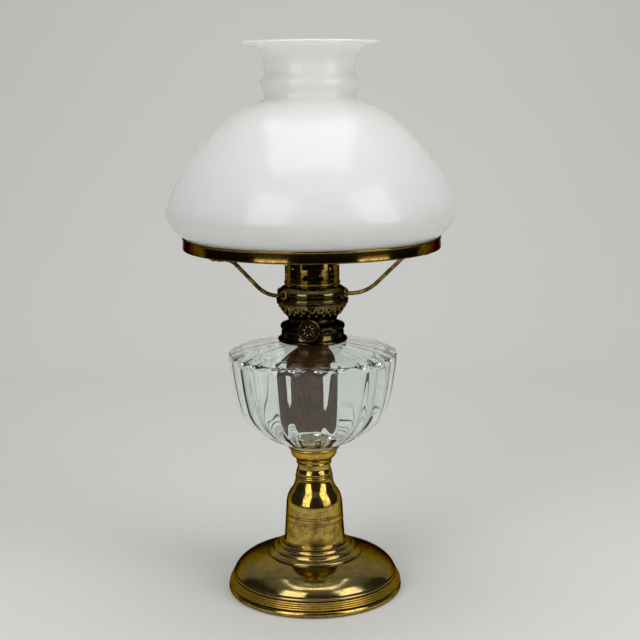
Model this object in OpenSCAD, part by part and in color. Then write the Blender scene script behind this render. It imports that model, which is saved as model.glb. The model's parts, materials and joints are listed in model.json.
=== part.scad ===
// Kerosene table lamp: brass pedestal, pressed-glass font, round-wick burner and opal dome shade.
// Millimetres, +Z up, origin at the middle of the foot's underside, the winder knob towards -Y.

/* [Pedestal] */
// Radius of the foot over its rolled rim
foot_r = 84; // [78:1:92]
// Height of the lined band above the rim
foot_band_h = 10; // [8:0.5:13]
// Height of the foot up to the column
foot_h = 47; // [44:1:54]
// Radius of the column at its foot
column_r = 29.3; // [27:0.5:32]
// Height of the column
column_h = 63.5; // [58:1:76]
// Radius of the column at its shoulder
shoulder_r = 18; // [16.5:0.5:19.5]
// Height of the turned neck above the column
neck_h = 18.2; // [16:0.5:24]
// Radius of the rim of the font cup
cup_r = 24.5; // [23.5:0.5:26]
// Height of the font cup
cup_h = 13; // [12.5:0.5:16]
// Thickness of the spun brass
brass_wall = 1.4; // [1:0.1:1.6]
// Radius of the tie rod
rod_r = 5; // [4:0.5:5.5]

/* [Font] */
// Largest radius of the glass, over the lobes
font_r = 80.4; // [76:1:88]
// Height from the bottom of the bowl to its widest line
font_h = 88; // [82:1:98]
// Rise of the shoulder from the widest line to the collar
font_shoulder_h = 13; // [11:0.5:18]
// Thickness of the glass
font_wall = 4; // [3.5:0.25:4.5]
// Number of lobes
lobe_count = 24; // [16:2:28]
// Depth of the furrow between two lobes
furrow_depth = 1.6; // [1:0.1:2]
// Width of the furrow between two lobes
furrow_w = 1.6; // [1:0.1:2.2]

/* [Burner] */
// Outer radius of the screw collar
collar_r = 29.6; // [29:0.2:31]
// Height of the screw collar
collar_h = 10.6; // [10:0.2:13]
// Outer radius of the neck between collar and air basket
burner_neck_r = 22.3; // [21.8:0.1:23]
// Outer radius of the air basket at its top
basket_r = 33.2; // [32.6:0.2:34]
// Height of the air basket
basket_h = 15.6; // [14.5:0.2:18]
// Number of holes in each ring of the basket
basket_holes = 24; // [16:2:28]
// Outer radius of the chimney gallery
gallery_r = 25.7; // [25:0.1:26.5]
// Height of the gallery wall
gallery_h = 27; // [24:1:30]
// Number of tongues round the gallery
tongue_count = 12; // [10:1:12]
// Mean radius of the rolled wick
wick_r = 12.2; // [11.8:0.1:12.4]
// Thickness of the wick
wick_t = 2.5; // [2:0.1:2.6]
// Flat width of the wick
wick_w = 68; // [64:1:69]

/* [Winder] */
// Turn of the winder shaft from straight ahead, in degrees
winder_turn = 17; // [12:1:20]
// Reach of the knob face from the lamp's axis, along the shaft
knob_reach = 45.5; // [43:0.5:52]
// Radius of the knob
knob_r = 10.3; // [8.5:0.1:11]
// Thickness of the knob
knob_t = 3.6; // [3:0.2:5]
// Radius of the winder shaft
shaft_r = 1.5; // [1.2:0.1:1.6]
// Number of teeth on each toothed wheel
sprocket_teeth = 8; // [6:1:10]

/* [Shade holder] */
// Outer radius of the shade ring
ring_r = 120.5; // [116:0.5:126]
// Height of the shade ring
ring_h = 11; // [9:0.5:13]
// Height of the shade ring above the holder's seat
ring_rise = 49.6; // [46:1:56]
// Radius of the wire of the arms
wire_r = 1.8; // [1.5:0.1:2]
// Rise of the straight part of each arm, in degrees
arm_slope = 44; // [40:1:47]
// Turn of the left arm from straight ahead, in degrees
arm_turn = 51; // [40:1:60]

/* [Shade] */
// Largest radius of the shade
shade_r = 135.2; // [130:1:142]
// Height of the shade over its fitter edge
shade_h = 186.5; // [178:1:200]
// Radius of the waist under the lip
shade_waist_r = 42.2; // [40:0.5:46]
// Radius of the flared lip
lip_r = 63.1; // [58:0.5:68]
// Thickness of the opal glass
shade_wall = 3; // [2.5:0.25:3.5]

/* [Hidden] */
$fn = 96;

// Clearances: between pieces that turn or slide, between a hole and what is fixed in it, and of a running shaft
gap = 0.35;
seat_gap = 0.1;
run_gap = 0.05;
overlap = 0.01;

brass = [0.72, 0.55, 0.22];
dark_brass = [0.36, 0.29, 0.17];
iron = [0.25, 0.25, 0.26];
steel = [0.62, 0.62, 0.64];
plaster = [0.86, 0.84, 0.78];
clear_glass = [0.86, 0.93, 0.92, 0.35];
opal_glass = [0.96, 0.96, 0.95];
cotton = [0.36, 0.29, 0.25];

// Pedestal, from the table upwards
rim_bead = 3.2;
band_top = 2 * rim_bead + foot_band_h - 2;
dome_r = foot_r - 5.3;
dome_z = band_top + 3;
step_r = 45;
step_z = foot_h - 11.2;
column_z = foot_h;
neck_z = column_z + column_h;
cup_z = neck_z + neck_h;
cup_rim_z = cup_z + cup_h;
rod_hole = rod_r + 0.4;
nut_r = 1.8 * rod_r;
nut_h = 1.1 * rod_r;
washer_r = 16;
washer_t = 2;
weight_r = 0.74 * foot_r;
weight_h = 13;
weight_z = 8.4;
rod_bottom = weight_z - washer_t - nut_h - 0.8;
rod_top = cup_z + brass_wall + nut_h + 0.8;

// Font
font_z = cup_rim_z + 1.6;
wide_z = font_z + font_h;
peg_r = 18;
peg_z = rod_top + 0.8;
collar_z = wide_z + font_shoulder_h;
collar_top = collar_z + collar_h;
screw_r = burner_neck_r - 0.1;
mouth_wall = 1.1;
mouth_r = screw_r + gap;
glass_neck_r = mouth_r + mouth_wall + 0.9;
glass_neck_t = 2.6;
collar_wall = 1.2;
collar_bead = 1.9;

// Burner
base_z = collar_top;
base_floor = 1.5;
base_drum_h = 3;
base_bead = 2.8;
base_bead_r = collar_r + 0.9 - base_bead;
base_bead_z = base_z + 4.4;
base_neck_z = base_z + 9.3;
sheet = 0.9;
basket_z = base_z + 12.6;
basket_foot_r = burner_neck_r + 1.1;
deck_z = basket_z + basket_h;
deck_r = basket_r - 1.6;
deck_wall_h = 8.4;
deck_h = 14.8;
deck_top = deck_z + deck_h;
gallery_top = deck_top + gallery_h;
gallery_wall = 0.8;
tube_r = wick_r + wick_t / 2 + gap;
tube_wall = 0.7;
tube_z = base_z - 1;
tube_top = deck_top + 15;
inner_r = wick_r - wick_t / 2 - gap;
inner_z = basket_z + 1;
inner_top = tube_top - 0.6;
wick_span = 180 * wick_w / (PI * wick_r);
duct_w = 5.4;
duct_h = 11;
duct_z = inner_z;

// Winder
shaft_z = base_z + 7.7;
shaft_x = tube_r + tube_wall + shaft_r + 1;
sprocket_r = shaft_x - tube_r;
sprocket_root = sprocket_r - 0.9;
sprocket_w = 1.2;
sprocket_y = 3;
lug_t = 2.4;
lug_y = sprocket_y + sprocket_w / 2 + 1.2;
shaft_back = lug_y + lug_t + 1;
gland_r = shaft_r + 1.1;
gland_front = knob_reach - knob_t - 4;
gland_back = 12;
knob_hub_r = 3.4;
knob_hub_h = 3.2;

// Shade holder
holder_z = deck_z + 1;
holder_r = deck_r + gap;
holder_wall = 1;
holder_h = 9.8;
holder_flange_r = basket_r + 0.9;
holder_flange_t = 1.6;
foot_arm_z = holder_z + holder_h - wire_r - 0.5;
ring_z = holder_z + ring_rise;
ring_wall = 1.2;
ledge_w = 14;
rivet_r = 1.5;
rivet_head_r = 2.6;
rivet_at = ring_r - 9.6;
tab_r = 4.2;
tab_t = 2;
end_arm_z = ring_z - tab_t + 0.3 - wire_r / 2;
arm_rise = end_arm_z - foot_arm_z;
low_x = holder_r + 4;
arm_tail = 6;
tail_end = rivet_at - rivet_head_r - gap;
high_x = tail_end - arm_tail;
bend_swell = 0.03;
bend_lap = 0.3;
bend_high = 22;
// The wide lower bend takes what the rise, the reach and the upper bend leave over
bend_low = (high_x - low_x - arm_rise / tan(arm_slope)) / tan(arm_slope / 2) - bend_high;
straight = (arm_rise - (bend_low + bend_high) * (1 - cos(arm_slope))) / sin(arm_slope);
low_end = low_x + bend_low * sin(arm_slope);
arm_angles = [270 - arm_turn, 390 - arm_turn, 510 - arm_turn];
rosette_r = 5;
rosette_t = 1.4;
rosette_petals = 6;

// Shade
shade_z = ring_z + ring_wall;
fitter_r = ring_r - ring_wall - 1.8;
fitter_h = 9.5;
belly_z = shade_z + 0.18 * shade_h;
waist_z = shade_z + 0.725 * shade_h;
waist_h = 24;
waist_bead = 3.4;
lip_h = shade_z + shade_h - waist_z - waist_h;

// Points of a cubic curve from a to d, with handles b and c, without its first point.
function curve(a, b, c, d, n) = [
    for (i = [1:n])
        let (t = i / n, u = 1 - t)
            u * u * u * a + 3 * u * u * t * b + 3 * u * t * t * c + t * t * t * d
];

// Unit vector to the left of the step from a to b.
function left_of(a, b) = [a[1] - b[1], b[0] - a[0]] / norm(b - a);

// The same outline moved to its left by w, with mitred corners: inwards for an outline that runs upwards.
function inward(p, w) = [
    for (i = [0:len(p) - 1])
        let (
            last = len(p) - 1,
            m = left_of(p[max(i - 1, 0)], p[max(i, 1)]),
            n = left_of(p[min(i, last - 1)], p[min(i + 1, last)])
        )
            p[i] + w * (m + n) / (1 + m * n)
];

function backwards(p) = [for (i = [len(p) - 1:-1:0]) p[i]];

// A spun shell of even thickness under an outline of [radius, height] points.
module spun(outline, wall) {
    rotate_extrude()
        polygon(concat(outline, backwards(inward(outline, wall))));
}

// A tube or washer.
module ring(outer, inner, h) {
    difference() {
        cylinder(r = outer, h = h);
        translate([0, 0, -overlap])
            cylinder(r = inner, h = h + 2 * overlap);
    }
}

// A round bead or groove round the axis.
module bead(at, r) {
    rotate_extrude()
        translate([at, 0])
            circle(r = r, $fn = 48);
}

// Places its children in the winder's frame: along the shaft towards the knob, on the shaft's axis.
module on_winder(reach) {
    rotate([0, 0, winder_turn])
        translate([-shaft_x, -reach, shaft_z])
            rotate([90, 0, 0])
                children();
}

// Spun brass foot: rolled rim, lined band, dome, step and the seat of the column.
module foot_shell() {
    band_foot = [foot_r - 1.2, rim_bead];
    band_head = [foot_r - 4, band_top];
    band_flare = (band_head[0] - band_foot[0]) / (band_head[1] - band_foot[1]);
    edge_bead = 1.45;
    dome_foot = [dome_r, dome_z];
    step_foot = [step_r, step_z];
    step_head = [step_r - 0.6, step_z + 2.2];
    seat_edge = [column_r + 2.2, foot_h];
    rest_w = 2.4;
    line_r = 0.35;
    line_pitch = 2;
    line_count = floor((band_top - 2 * rim_bead) / line_pitch);
    riser = 1.4;
    ring_count = 2;
    last_ring = seat_edge + [2.4, -1.2];
    ring_at = [for (k = [0:ring_count]) step_head + (last_ring - step_head) * k / ring_count];
    rings = [
        for (k = [1:ring_count])
            let (tread = ring_at[k - 1], foot = ring_at[k] - [0, riser], mid = [foot[0] + 1, tread[1] + 0.3])
                each concat(curve(tread, mid, mid, foot, 5), [ring_at[k]])
    ];
    outline = concat(
        [band_foot, band_head, [dome_r, band_top], dome_foot],
        curve(dome_foot, dome_foot + [-8, 12], step_foot + [12, -3], step_foot, 12),
        [step_head],
        rings,
        [seat_edge, [rod_hole, foot_h]]
    );
    color(brass)
        difference() {
            union() {
                translate([0, 0, rim_bead])
                    bead(foot_r - rim_bead, rim_bead);
                ring(foot_r - rim_bead + rest_w / 2, foot_r - rim_bead - rest_w / 2, rim_bead);
                translate([0, 0, (band_top + dome_z) / 2])
                    bead(dome_r - brass_wall / 2, edge_bead);
                spun(outline, brass_wall);
            }
            for (i = [0:line_count - 1])
                let (z = 2 * rim_bead + (i + 0.5) * line_pitch)
                    translate([0, 0, z])
                        bead(band_foot[0] + band_flare * (z - rim_bead), line_r);
        }
}

// Cast-iron weight in the foot, clamped under the column's seat.
module foot_weight() {
    boss_r = column_r - 3;
    color(iron)
        difference() {
            union() {
                translate([0, 0, weight_z])
                    cylinder(r = weight_r, h = weight_h);
                translate([0, 0, weight_z])
                    cylinder(r = boss_r, h = foot_h - brass_wall - weight_z);
            }
            translate([0, 0, weight_z - overlap])
                cylinder(r = rod_hole, h = foot_h);
        }
}

// Steel rod that pulls foot, column, neck and cup together.
module tie_rod() {
    color(steel)
        translate([0, 0, rod_bottom])
            cylinder(r = rod_r, h = rod_top - rod_bottom);
}

module tie_washer() {
    color(steel)
        translate([0, 0, weight_z - washer_t])
            ring(washer_r, rod_hole, washer_t);
}

// One nut under the foot and one inside the cup.
module tie_nuts() {
    color(steel)
        for (z = [weight_z - washer_t - nut_h, cup_z + brass_wall])
            translate([0, 0, z])
                difference() {
                    cylinder(r = nut_r, h = nut_h, $fn = 6);
                    translate([0, 0, -overlap])
                        cylinder(r = rod_r + seat_gap, h = nut_h + 2 * overlap);
                }
}

// Spun brass column with two engraved lines and a closed shoulder.
module stem_column() {
    flange_w = 1;
    flange_h = 2;
    taper = 2;
    waist_at = 0.55;
    line_r = 0.55;
    line_heights = [0.36, 0.45];
    waist = [column_r - taper, column_z + waist_at * column_h];
    shoulder = [shoulder_r, neck_z];
    outline = concat(
        [[column_r + flange_w, column_z], [column_r + flange_w, column_z + flange_h]],
        [[column_r, column_z + flange_h], waist],
        curve(waist, waist + [-0.6, 0.3 * column_h], shoulder + [1, -0.22 * column_h], shoulder, 10),
        [[rod_hole, neck_z]]
    );
    color(brass)
        difference() {
            spun(outline, brass_wall);
            for (k = line_heights)
                translate([0, 0, column_z + k * column_h])
                    bead(column_r - taper * k / waist_at + 0.2, line_r);
        }
}

// Turned solid neck: a bead, a smaller bead and a slim waist.
module stem_neck() {
    waist_r = shoulder_r - 2.2;
    foot_flare = 0.6;
    low_bead = 1.6;
    low_bead_at = 0.1;
    high_bead = 1.5;
    high_bead_at = 0.36;
    color(brass)
        difference() {
            union() {
                translate([0, 0, neck_z])
                    cylinder(r1 = waist_r + foot_flare, r2 = waist_r, h = neck_h);
                translate([0, 0, neck_z + low_bead_at * neck_h])
                    bead(shoulder_r - low_bead, low_bead);
                translate([0, 0, neck_z + high_bead_at * neck_h])
                    bead(shoulder_r - 1.4 - high_bead, high_bead);
            }
            translate([0, 0, neck_z - overlap])
                cylinder(r = rod_hole, h = neck_h + 2 * overlap);
        }
}

// Small brass cup under the glass, with a floor that the tie rod clamps.
module font_cup() {
    foot = [shoulder_r - 0.8, cup_z];
    rim = [cup_r, cup_rim_z];
    outline = concat(
        [[rod_hole, cup_z], foot],
        curve(foot, foot + [0, 0.4 * cup_h], rim + [-1, -0.65 * cup_h], rim, 8)
    );
    color(brass)
        spun(outline, brass_wall);
}

// The bowl curves out from the peg to where its side steepens, then rises to the widest line.
bowl_turn = [0.861 * font_r, font_z + 0.43 * font_h];
font_side = concat(
    [[peg_r, font_z]],
    curve([peg_r, font_z], [0.5 * font_r, font_z + 0.035 * font_h], [0.786 * font_r, font_z + 0.25 * font_h],
        bowl_turn, 9),
    curve(bowl_turn, [0.914 * font_r, font_z + 0.56 * font_h], [0.943 * font_r, wide_z - 0.2 * font_h],
        [font_r, wide_z], 8)
);
neck_out_r = glass_neck_r + glass_neck_t;
font_shoulder = curve([font_r, wide_z], [font_r - 1, wide_z + 0.6 * font_shoulder_h],
    [neck_out_r + 14, collar_z], [neck_out_r, collar_z + 0.6], 8);

// Pressed-glass font: a lobed bowl with a peg in the cup and a plain neck inside the collar.
// The lobes are parted by furrows that run from the peg over the shoulder to the collar.
module font_glass() {
    neck_top = collar_top - 4;
    outer = concat(font_side, font_shoulder);
    inner = inward(concat(font_side, font_shoulder), font_wall);
    bowl_floor = font_z + font_wall + 1;
    cavity = [for (p = inner) if (p[1] > bowl_floor) p];
    furrow_line = concat([for (p = outer) if (p[0] > peg_r + 8) p]);
    furrow_bed = inward(furrow_line, furrow_depth);
    furrow_sky = inward(furrow_line, -furrow_depth);
    color(clear_glass)
        difference() {
            rotate_extrude()
                polygon(concat([[0, peg_z], [peg_r, peg_z]], outer, [[neck_out_r, neck_top], [0, neck_top]]));
            rotate_extrude()
                polygon(concat([[0, bowl_floor]], [[cavity[0][0], bowl_floor]], cavity,
                    [[glass_neck_r, collar_z], [glass_neck_r, neck_top + 1], [0, neck_top + 1]]));
            for (i = [0:lobe_count - 1])
                rotate([0, 0, 270 + (i + 0.1) * 360 / lobe_count])
                    translate([0, furrow_w / 2, 0])
                        rotate([90, 0, 0])
                            linear_extrude(furrow_w)
                                polygon(concat(furrow_bed, backwards(furrow_sky)));
        }
}

// Plaster between the cup and the peg of the glass.
module font_cement() {
    well = nut_r + 0.6;
    color(plaster)
        difference() {
            translate([0, 0, cup_z + brass_wall])
                cylinder(r1 = 0.8 * shoulder_r, r2 = cup_r - brass_wall - 2.6, h = font_z - 2 - cup_z - brass_wall);
            translate([0, 0, cup_z])
                cylinder(r = well, h = peg_z - cup_z + overlap);
            translate([0, 0, peg_z - overlap])
                cylinder(r = peg_r + seat_gap, h = cup_h);
        }
}

// Brass screw collar: a hollow ring over the glass neck, with the burner's screw inside it.
module font_collar() {
    color(dark_brass)
        union() {
            translate([0, 0, collar_z + 2.4])
                ring(collar_r, collar_r - collar_wall, collar_h - 2.4);
            translate([0, 0, collar_top - collar_wall])
                ring(collar_r, mouth_r, collar_wall);
            translate([0, 0, collar_z - 1])
                ring(mouth_r + mouth_wall, mouth_r, collar_h + 1);
            translate([0, 0, collar_z + 2 + collar_bead / 2])
                bead(collar_r + 1.7 - collar_bead / 2, collar_bead);
        }
}

// Plaster between the collar and the glass neck.
module collar_cement() {
    neck_top = collar_top - 4;
    inner = mouth_r + mouth_wall + seat_gap;
    outer = collar_r - collar_wall - seat_gap;
    color(plaster)
        difference() {
            translate([0, 0, collar_z + 5.4])
                ring(outer, inner, collar_top - collar_wall - collar_z - 5.4);
            translate([0, 0, collar_z])
                ring(neck_out_r + seat_gap, glass_neck_r - seat_gap, neck_top - collar_z);
        }
}

// Burner base: screw skirt, low drum with a rounded edge, sloping shoulder and the neck with its top flange.
module burner_base() {
    skirt_h = collar_h - 1;
    neck_top = basket_z;
    edge = [base_bead_r, base_bead_z + base_bead - 0.05];
    head = [burner_neck_r - sheet / 2, base_neck_z];
    color(dark_brass)
        difference() {
            union() {
                translate([0, 0, base_z - skirt_h])
                    ring(screw_r, screw_r - sheet, skirt_h + overlap);
                translate([0, 0, base_z])
                    ring(collar_r - 0.2, tube_r + tube_wall + seat_gap, base_floor);
                translate([0, 0, base_z])
                    ring(collar_r - 0.2, collar_r - 0.2 - sheet, base_drum_h);
                translate([0, 0, base_bead_z])
                    bead(base_bead_r, base_bead);
                rotate_extrude()
                    polygon([edge, head, head - [0, sheet], edge - [0, sheet]]);
                translate([0, 0, base_z])
                    ring(burner_neck_r, burner_neck_r - sheet, neck_top - base_z);
                translate([0, 0, neck_top - sheet])
                    ring(basket_foot_r, burner_neck_r - sheet, sheet);
            }
            on_winder(0)
                cylinder(r = gland_r + seat_gap, h = knob_reach);
        }
}

// Air basket: a spun bowl with staggered rings of air holes and flanges turned in at foot and top.
module air_basket() {
    foot = [basket_foot_r, basket_z];
    top = [basket_r, deck_z];
    flange_w = 3;
    hole_r = 1.25;
    hole_heights = [0.3, 0.5, 0.7];
    hole_depth = 14;
    outline = concat(
        [[burner_neck_r - sheet, basket_z], foot],
        curve(foot, [basket_r - 7, basket_z + 0.3 * basket_h], [basket_r - 2.2, basket_z + 0.57 * basket_h], top, 8),
        [top - [flange_w, 0]]
    );
    color(dark_brass)
        difference() {
            spun(outline, sheet);
            for (row = [0:len(hole_heights) - 1], i = [0:basket_holes - 1])
                rotate([0, 0, (i + row / 2) * 360 / basket_holes])
                    translate([basket_r - hole_depth, 0, basket_z + hole_heights[row] * basket_h])
                        rotate([0, 90, 0])
                            cylinder(r = hole_r, h = hole_depth + 1, $fn = 24);
        }
}

// Burner deck: the holder's seat flange, a domed drum and the flat chimney seat with its ring of air holes.
module burner_deck() {
    hole_r = 2.6;
    hole_count = 12;
    hole_at = (tube_r + gallery_r) / 2;
    wall_head = [deck_r, deck_z + deck_wall_h];
    seat_edge = [gallery_r + 0.4, deck_top];
    outline = concat(
        [[deck_r, deck_z], wall_head],
        curve(wall_head, wall_head + [0, 3], seat_edge + [4, -2], seat_edge, 6),
        [[tube_r + tube_wall + seat_gap, deck_top]]
    );
    color(dark_brass)
        difference() {
            union() {
                spun(outline, sheet);
                translate([0, 0, deck_z])
                    ring(basket_r + 0.4, deck_r - sheet / 2, holder_z - deck_z);
            }
            for (i = [0:hole_count - 1])
                rotate([0, 0, i * 360 / hole_count])
                    translate([hole_at, 0, deck_top - 2 * sheet])
                        cylinder(r = hole_r, h = 3 * sheet, $fn = 32);
        }
}

// A pierced leaf with its point up: two round lobes, a point and a notch between the lobes.
module spade(w, h) {
    lobe = 0.27 * w;
    difference() {
        union() {
            for (side = [-1, 1])
                translate([side * (w / 2 - lobe), lobe])
                    circle(r = lobe, $fn = 24);
            polygon([[-w / 2 + 0.1 * lobe, 1.3 * lobe], [w / 2 - 0.1 * lobe, 1.3 * lobe], [0, h]]);
            translate([-w / 2 + lobe, 0.5 * lobe])
                square([w - 2 * lobe, lobe]);
        }
        translate([0, 0.1 * lobe])
            circle(r = 0.55 * lobe, $fn = 16);
    }
}

// Chimney gallery: a pierced ring with a foot bead, leaf piercings and a crown of spring tongues.
module gallery() {
    pitch = 2 * PI * gallery_r / tongue_count;
    spade_w = 0.56 * pitch;
    spade_h = 6.4;
    spade_z = deck_top + 7.2;
    window_w = 0.6 * pitch;
    window_z = deck_top + 17;
    foot_bead = 0.9;
    eye_r = 0.9;
    reach = 4;
    color(dark_brass)
        difference() {
            union() {
                translate([0, 0, deck_top])
                    ring(gallery_r, gallery_r - gallery_wall, gallery_h);
                translate([0, 0, deck_top + 2 + foot_bead])
                    bead(gallery_r, foot_bead);
            }
            for (i = [0:tongue_count - 1])
                rotate([0, 0, 270 + (i + 0.56) * 360 / tongue_count]) {
                    translate([gallery_r - reach / 2, 0, spade_z])
                        rotate([90, 0, 90])
                            linear_extrude(reach)
                                spade(spade_w, spade_h);
                    translate([gallery_r - reach / 2, -window_w / 2, window_z])
                        cube([reach, window_w, gallery_h]);
                    rotate([0, 0, 180 / tongue_count])
                        translate([gallery_r - reach / 2, 0, window_z - 1.6])
                            rotate([0, 90, 0])
                                cylinder(r = eye_r, h = reach, $fn = 24);
                }
        }
}

// Outer wick tube, with slots for the toothed wheels, a window for the air duct and the lug of the shaft.
module wick_tube() {
    slot_w = sprocket_w + 2 * gap;
    slot_h = 2 * sprocket_r + 2 * gap;
    flange_t = 1;
    lug_w = 2 * shaft_r + 2;
    color(dark_brass)
        difference() {
            union() {
                translate([0, 0, tube_z])
                    ring(tube_r + tube_wall, tube_r, tube_top - tube_z);
                translate([0, 0, base_z + base_floor])
                    ring(tube_r + tube_wall + 2.4, tube_r, flange_t);
                rotate([0, 0, winder_turn])
                    translate([-shaft_x - lug_w / 2, lug_y, shaft_z - lug_w / 2])
                        difference() {
                            cube([lug_w / 2 + shaft_x - 0.8 * tube_r, lug_t, lug_w]);
                            translate([lug_w / 2 + shaft_x, -lug_y, -lug_w])
                                cylinder(r = tube_r, h = 3 * lug_w);
                        }
            }
            rotate([0, 0, winder_turn])
                for (side = [-1, 1])
                    translate([-shaft_x, side * sprocket_y - slot_w / 2, shaft_z - slot_h / 2])
                        cube([shaft_x - 0.75 * tube_r, slot_w, slot_h]);
            on_winder(-shaft_back)
                cylinder(r = shaft_r + run_gap, h = knob_reach);
            translate([-duct_w / 2 - seat_gap, 0.7 * tube_r, duct_z - seat_gap])
                cube([duct_w + 2 * seat_gap, tube_r, duct_h + 2 * seat_gap]);
        }
}

// Inner air tube, closed below, fed by a square duct that passes through the open side of the wick.
module air_tube() {
    wall = 0.7;
    reach = tube_r + tube_wall + 1;
    color(dark_brass)
        difference() {
            union() {
                translate([0, 0, inner_z])
                    cylinder(r = inner_r, h = inner_top - inner_z);
                translate([-duct_w / 2, 0, duct_z])
                    cube([duct_w, reach, duct_h]);
            }
            translate([0, 0, inner_z + wall])
                cylinder(r = inner_r - wall, h = inner_top);
            translate([-duct_w / 2 + wall, 0, duct_z + wall])
                cube([duct_w - 2 * wall, reach + 1, duct_h - 2 * wall]);
        }
}

// Sleeve that carries the shaft through the burner's neck.
module winder_gland() {
    color(dark_brass)
        on_winder(gland_back)
            ring(gland_r, shaft_r + run_gap, gland_front - gland_back);
}

module winder_shaft() {
    color(steel)
        on_winder(-shaft_back)
            cylinder(r = shaft_r, h = shaft_back + knob_reach - knob_t / 2);
}

// Knob: a dished disc with a raised rim, a petalled rosette and a hub on the shaft.
module winder_knob() {
    dish = 0.8;
    rim = 1.2;
    petals = 8;
    petal_r = 1.5;
    petal_at = 4.2;
    color(dark_brass)
        on_winder(knob_reach - knob_t)
            difference() {
                union() {
                    difference() {
                        cylinder(r = knob_r, h = knob_t);
                        translate([0, 0, knob_t - dish])
                            cylinder(r = knob_r - rim, h = knob_t);
                    }
                    translate([0, 0, -knob_hub_h])
                        cylinder(r = knob_hub_r, h = knob_hub_h + overlap);
                    for (i = [0:petals - 1])
                        rotate([0, 0, i * 360 / petals])
                            translate([petal_at, 0, knob_t - dish - 0.3 * petal_r])
                                sphere(r = petal_r, $fn = 24);
                    translate([0, 0, knob_t - dish])
                        cylinder(r = petal_r, h = 0.8 * dish);
                }
                translate([0, 0, -knob_hub_h - overlap])
                    cylinder(r = shaft_r + 0.02, h = knob_hub_h + knob_t / 2 + 2 * overlap);
            }
}

// Two toothed wheels on the shaft, reaching through the slots of the wick tube.
module winder_sprockets() {
    tooth_w = 1.1;
    color(steel)
        for (side = [-1, 1])
            on_winder(-side * sprocket_y - sprocket_w / 2)
                difference() {
                    union() {
                        cylinder(r = sprocket_root, h = sprocket_w);
                        for (i = [0:sprocket_teeth - 1])
                            rotate([0, 0, i * 360 / sprocket_teeth])
                                linear_extrude(sprocket_w)
                                    polygon([[0, -tooth_w / 2], [sprocket_root, -tooth_w / 2], [sprocket_r, 0],
                                        [sprocket_root, tooth_w / 2], [0, tooth_w / 2]]);
                    }
                    translate([0, 0, -overlap])
                        cylinder(r = shaft_r + 0.02, h = sprocket_w + 2 * overlap);
                }
}

// Cotton wick: one sheet, rolled into a ring in the burner, that opens and hangs down in the font.
module wick() {
    top = tube_top + 1;
    straight_to = tube_z - 10;
    bottom = font_z + font_wall + 13.5;
    open_r = 40;
    arc_steps = 22;
    fall_steps = 12;
    wave = 1.6;
    waves = 2.5;
    levels = concat(
        [[top, wick_r, 0], [straight_to, wick_r, 0]],
        [for (i = [1:fall_steps])
            let (t = i / fall_steps, ease = t * t * (3 - 2 * t))
                [straight_to + (bottom - straight_to) * t, wick_r + (open_r - wick_r) * ease, ease]]
    );
    per_level = 2 * (arc_steps + 1);
    points = [
        for (level = levels, face = [1, -1], k = [0:arc_steps])
            let (
                s = face > 0 ? k / arc_steps : 1 - k / arc_steps,
                span = 180 * wick_w / (PI * level[1]),
                a = 270 + span * (s - 0.5),
                fold = wave * level[2] * cos(360 * waves * s),
                r = level[1] + fold + face * wick_t / 2
            )
                [r * cos(a), r * sin(a) + (level[1] - wick_r) * 0.9, level[0]]
    ];
    sides = [
        for (j = [0:len(levels) - 2], k = [0:per_level - 1])
            let (a = j * per_level + k, b = j * per_level + (k + 1) % per_level)
                [a, b, b + per_level, a + per_level]
    ];
    lid = [
        for (k = [0:arc_steps - 1])
            [k + 1, k, per_level - 1 - k, per_level - 2 - k]
    ];
    sole = (len(levels) - 1) * per_level;
    base = [for (f = lid) [for (k = [3:-1:0]) sole + f[k]]];
    color(cotton)
        polyhedron(points = points, faces = concat(sides, lid, base), convexity = 6);
}

// Seat of the shade holder: a flanged sleeve that drops over the drum of the deck.
module holder_seat() {
    color(dark_brass)
        difference() {
            union() {
                translate([0, 0, holder_z])
                    ring(holder_r + holder_wall, holder_r, holder_h);
                translate([0, 0, holder_z])
                    ring(holder_flange_r, holder_r, holder_flange_t);
            }
            for (a = arm_angles)
                rotate([0, 0, a])
                    translate([0, 0, foot_arm_z])
                        rotate([0, 90, 0])
                            cylinder(r = wire_r + seat_gap / 2, h = ring_r);
        }
}

// A bend of the wire: a stretch of a ring, from one angle on, in the upright plane of the arm.
module wire_bend(bend, from) {
    rotate([90, 0, 0])
        rotate([0, 0, from])
            rotate_extrude(angle = arm_slope)
                translate([bend, 0])
                    circle(r = wire_r + bend_swell, $fn = 48);
}

// One arm of bent wire, from the sleeve out and up to the flattened end riveted under the ring.
module holder_arm(angle) {
    foot_x = holder_r + seat_gap;
    color(dark_brass)
        rotate([0, 0, angle])
            difference() {
                union() {
                    translate([foot_x, 0, foot_arm_z])
                        rotate([0, 90, 0])
                            cylinder(r = wire_r, h = low_x - foot_x + bend_lap);
                    translate([low_x, 0, foot_arm_z + bend_low])
                        wire_bend(bend_low, 270);
                    translate([low_end, 0, foot_arm_z + bend_low * (1 - cos(arm_slope))])
                        rotate([0, 90 - arm_slope, 0])
                            translate([0, 0, -bend_lap])
                                cylinder(r = wire_r, h = straight + 2 * bend_lap);
                    translate([high_x, 0, end_arm_z - bend_high])
                        wire_bend(bend_high, 90);
                    translate([high_x - bend_lap, 0, end_arm_z])
                        rotate([0, 90, 0])
                            cylinder(r = wire_r, h = arm_tail + bend_lap);
                    translate([rivet_at, 0, ring_z - tab_t])
                        cylinder(r = tab_r, h = tab_t);
                }
                translate([rivet_at, 0, ring_z - 2 * tab_t])
                    cylinder(r = rivet_r + seat_gap / 2, h = 3 * tab_t);
            }
}

module holder_arm_left() {
    holder_arm(arm_angles[0]);
}

module holder_arm_right() {
    holder_arm(arm_angles[1]);
}

module holder_arm_rear() {
    holder_arm(arm_angles[2]);
}

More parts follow.
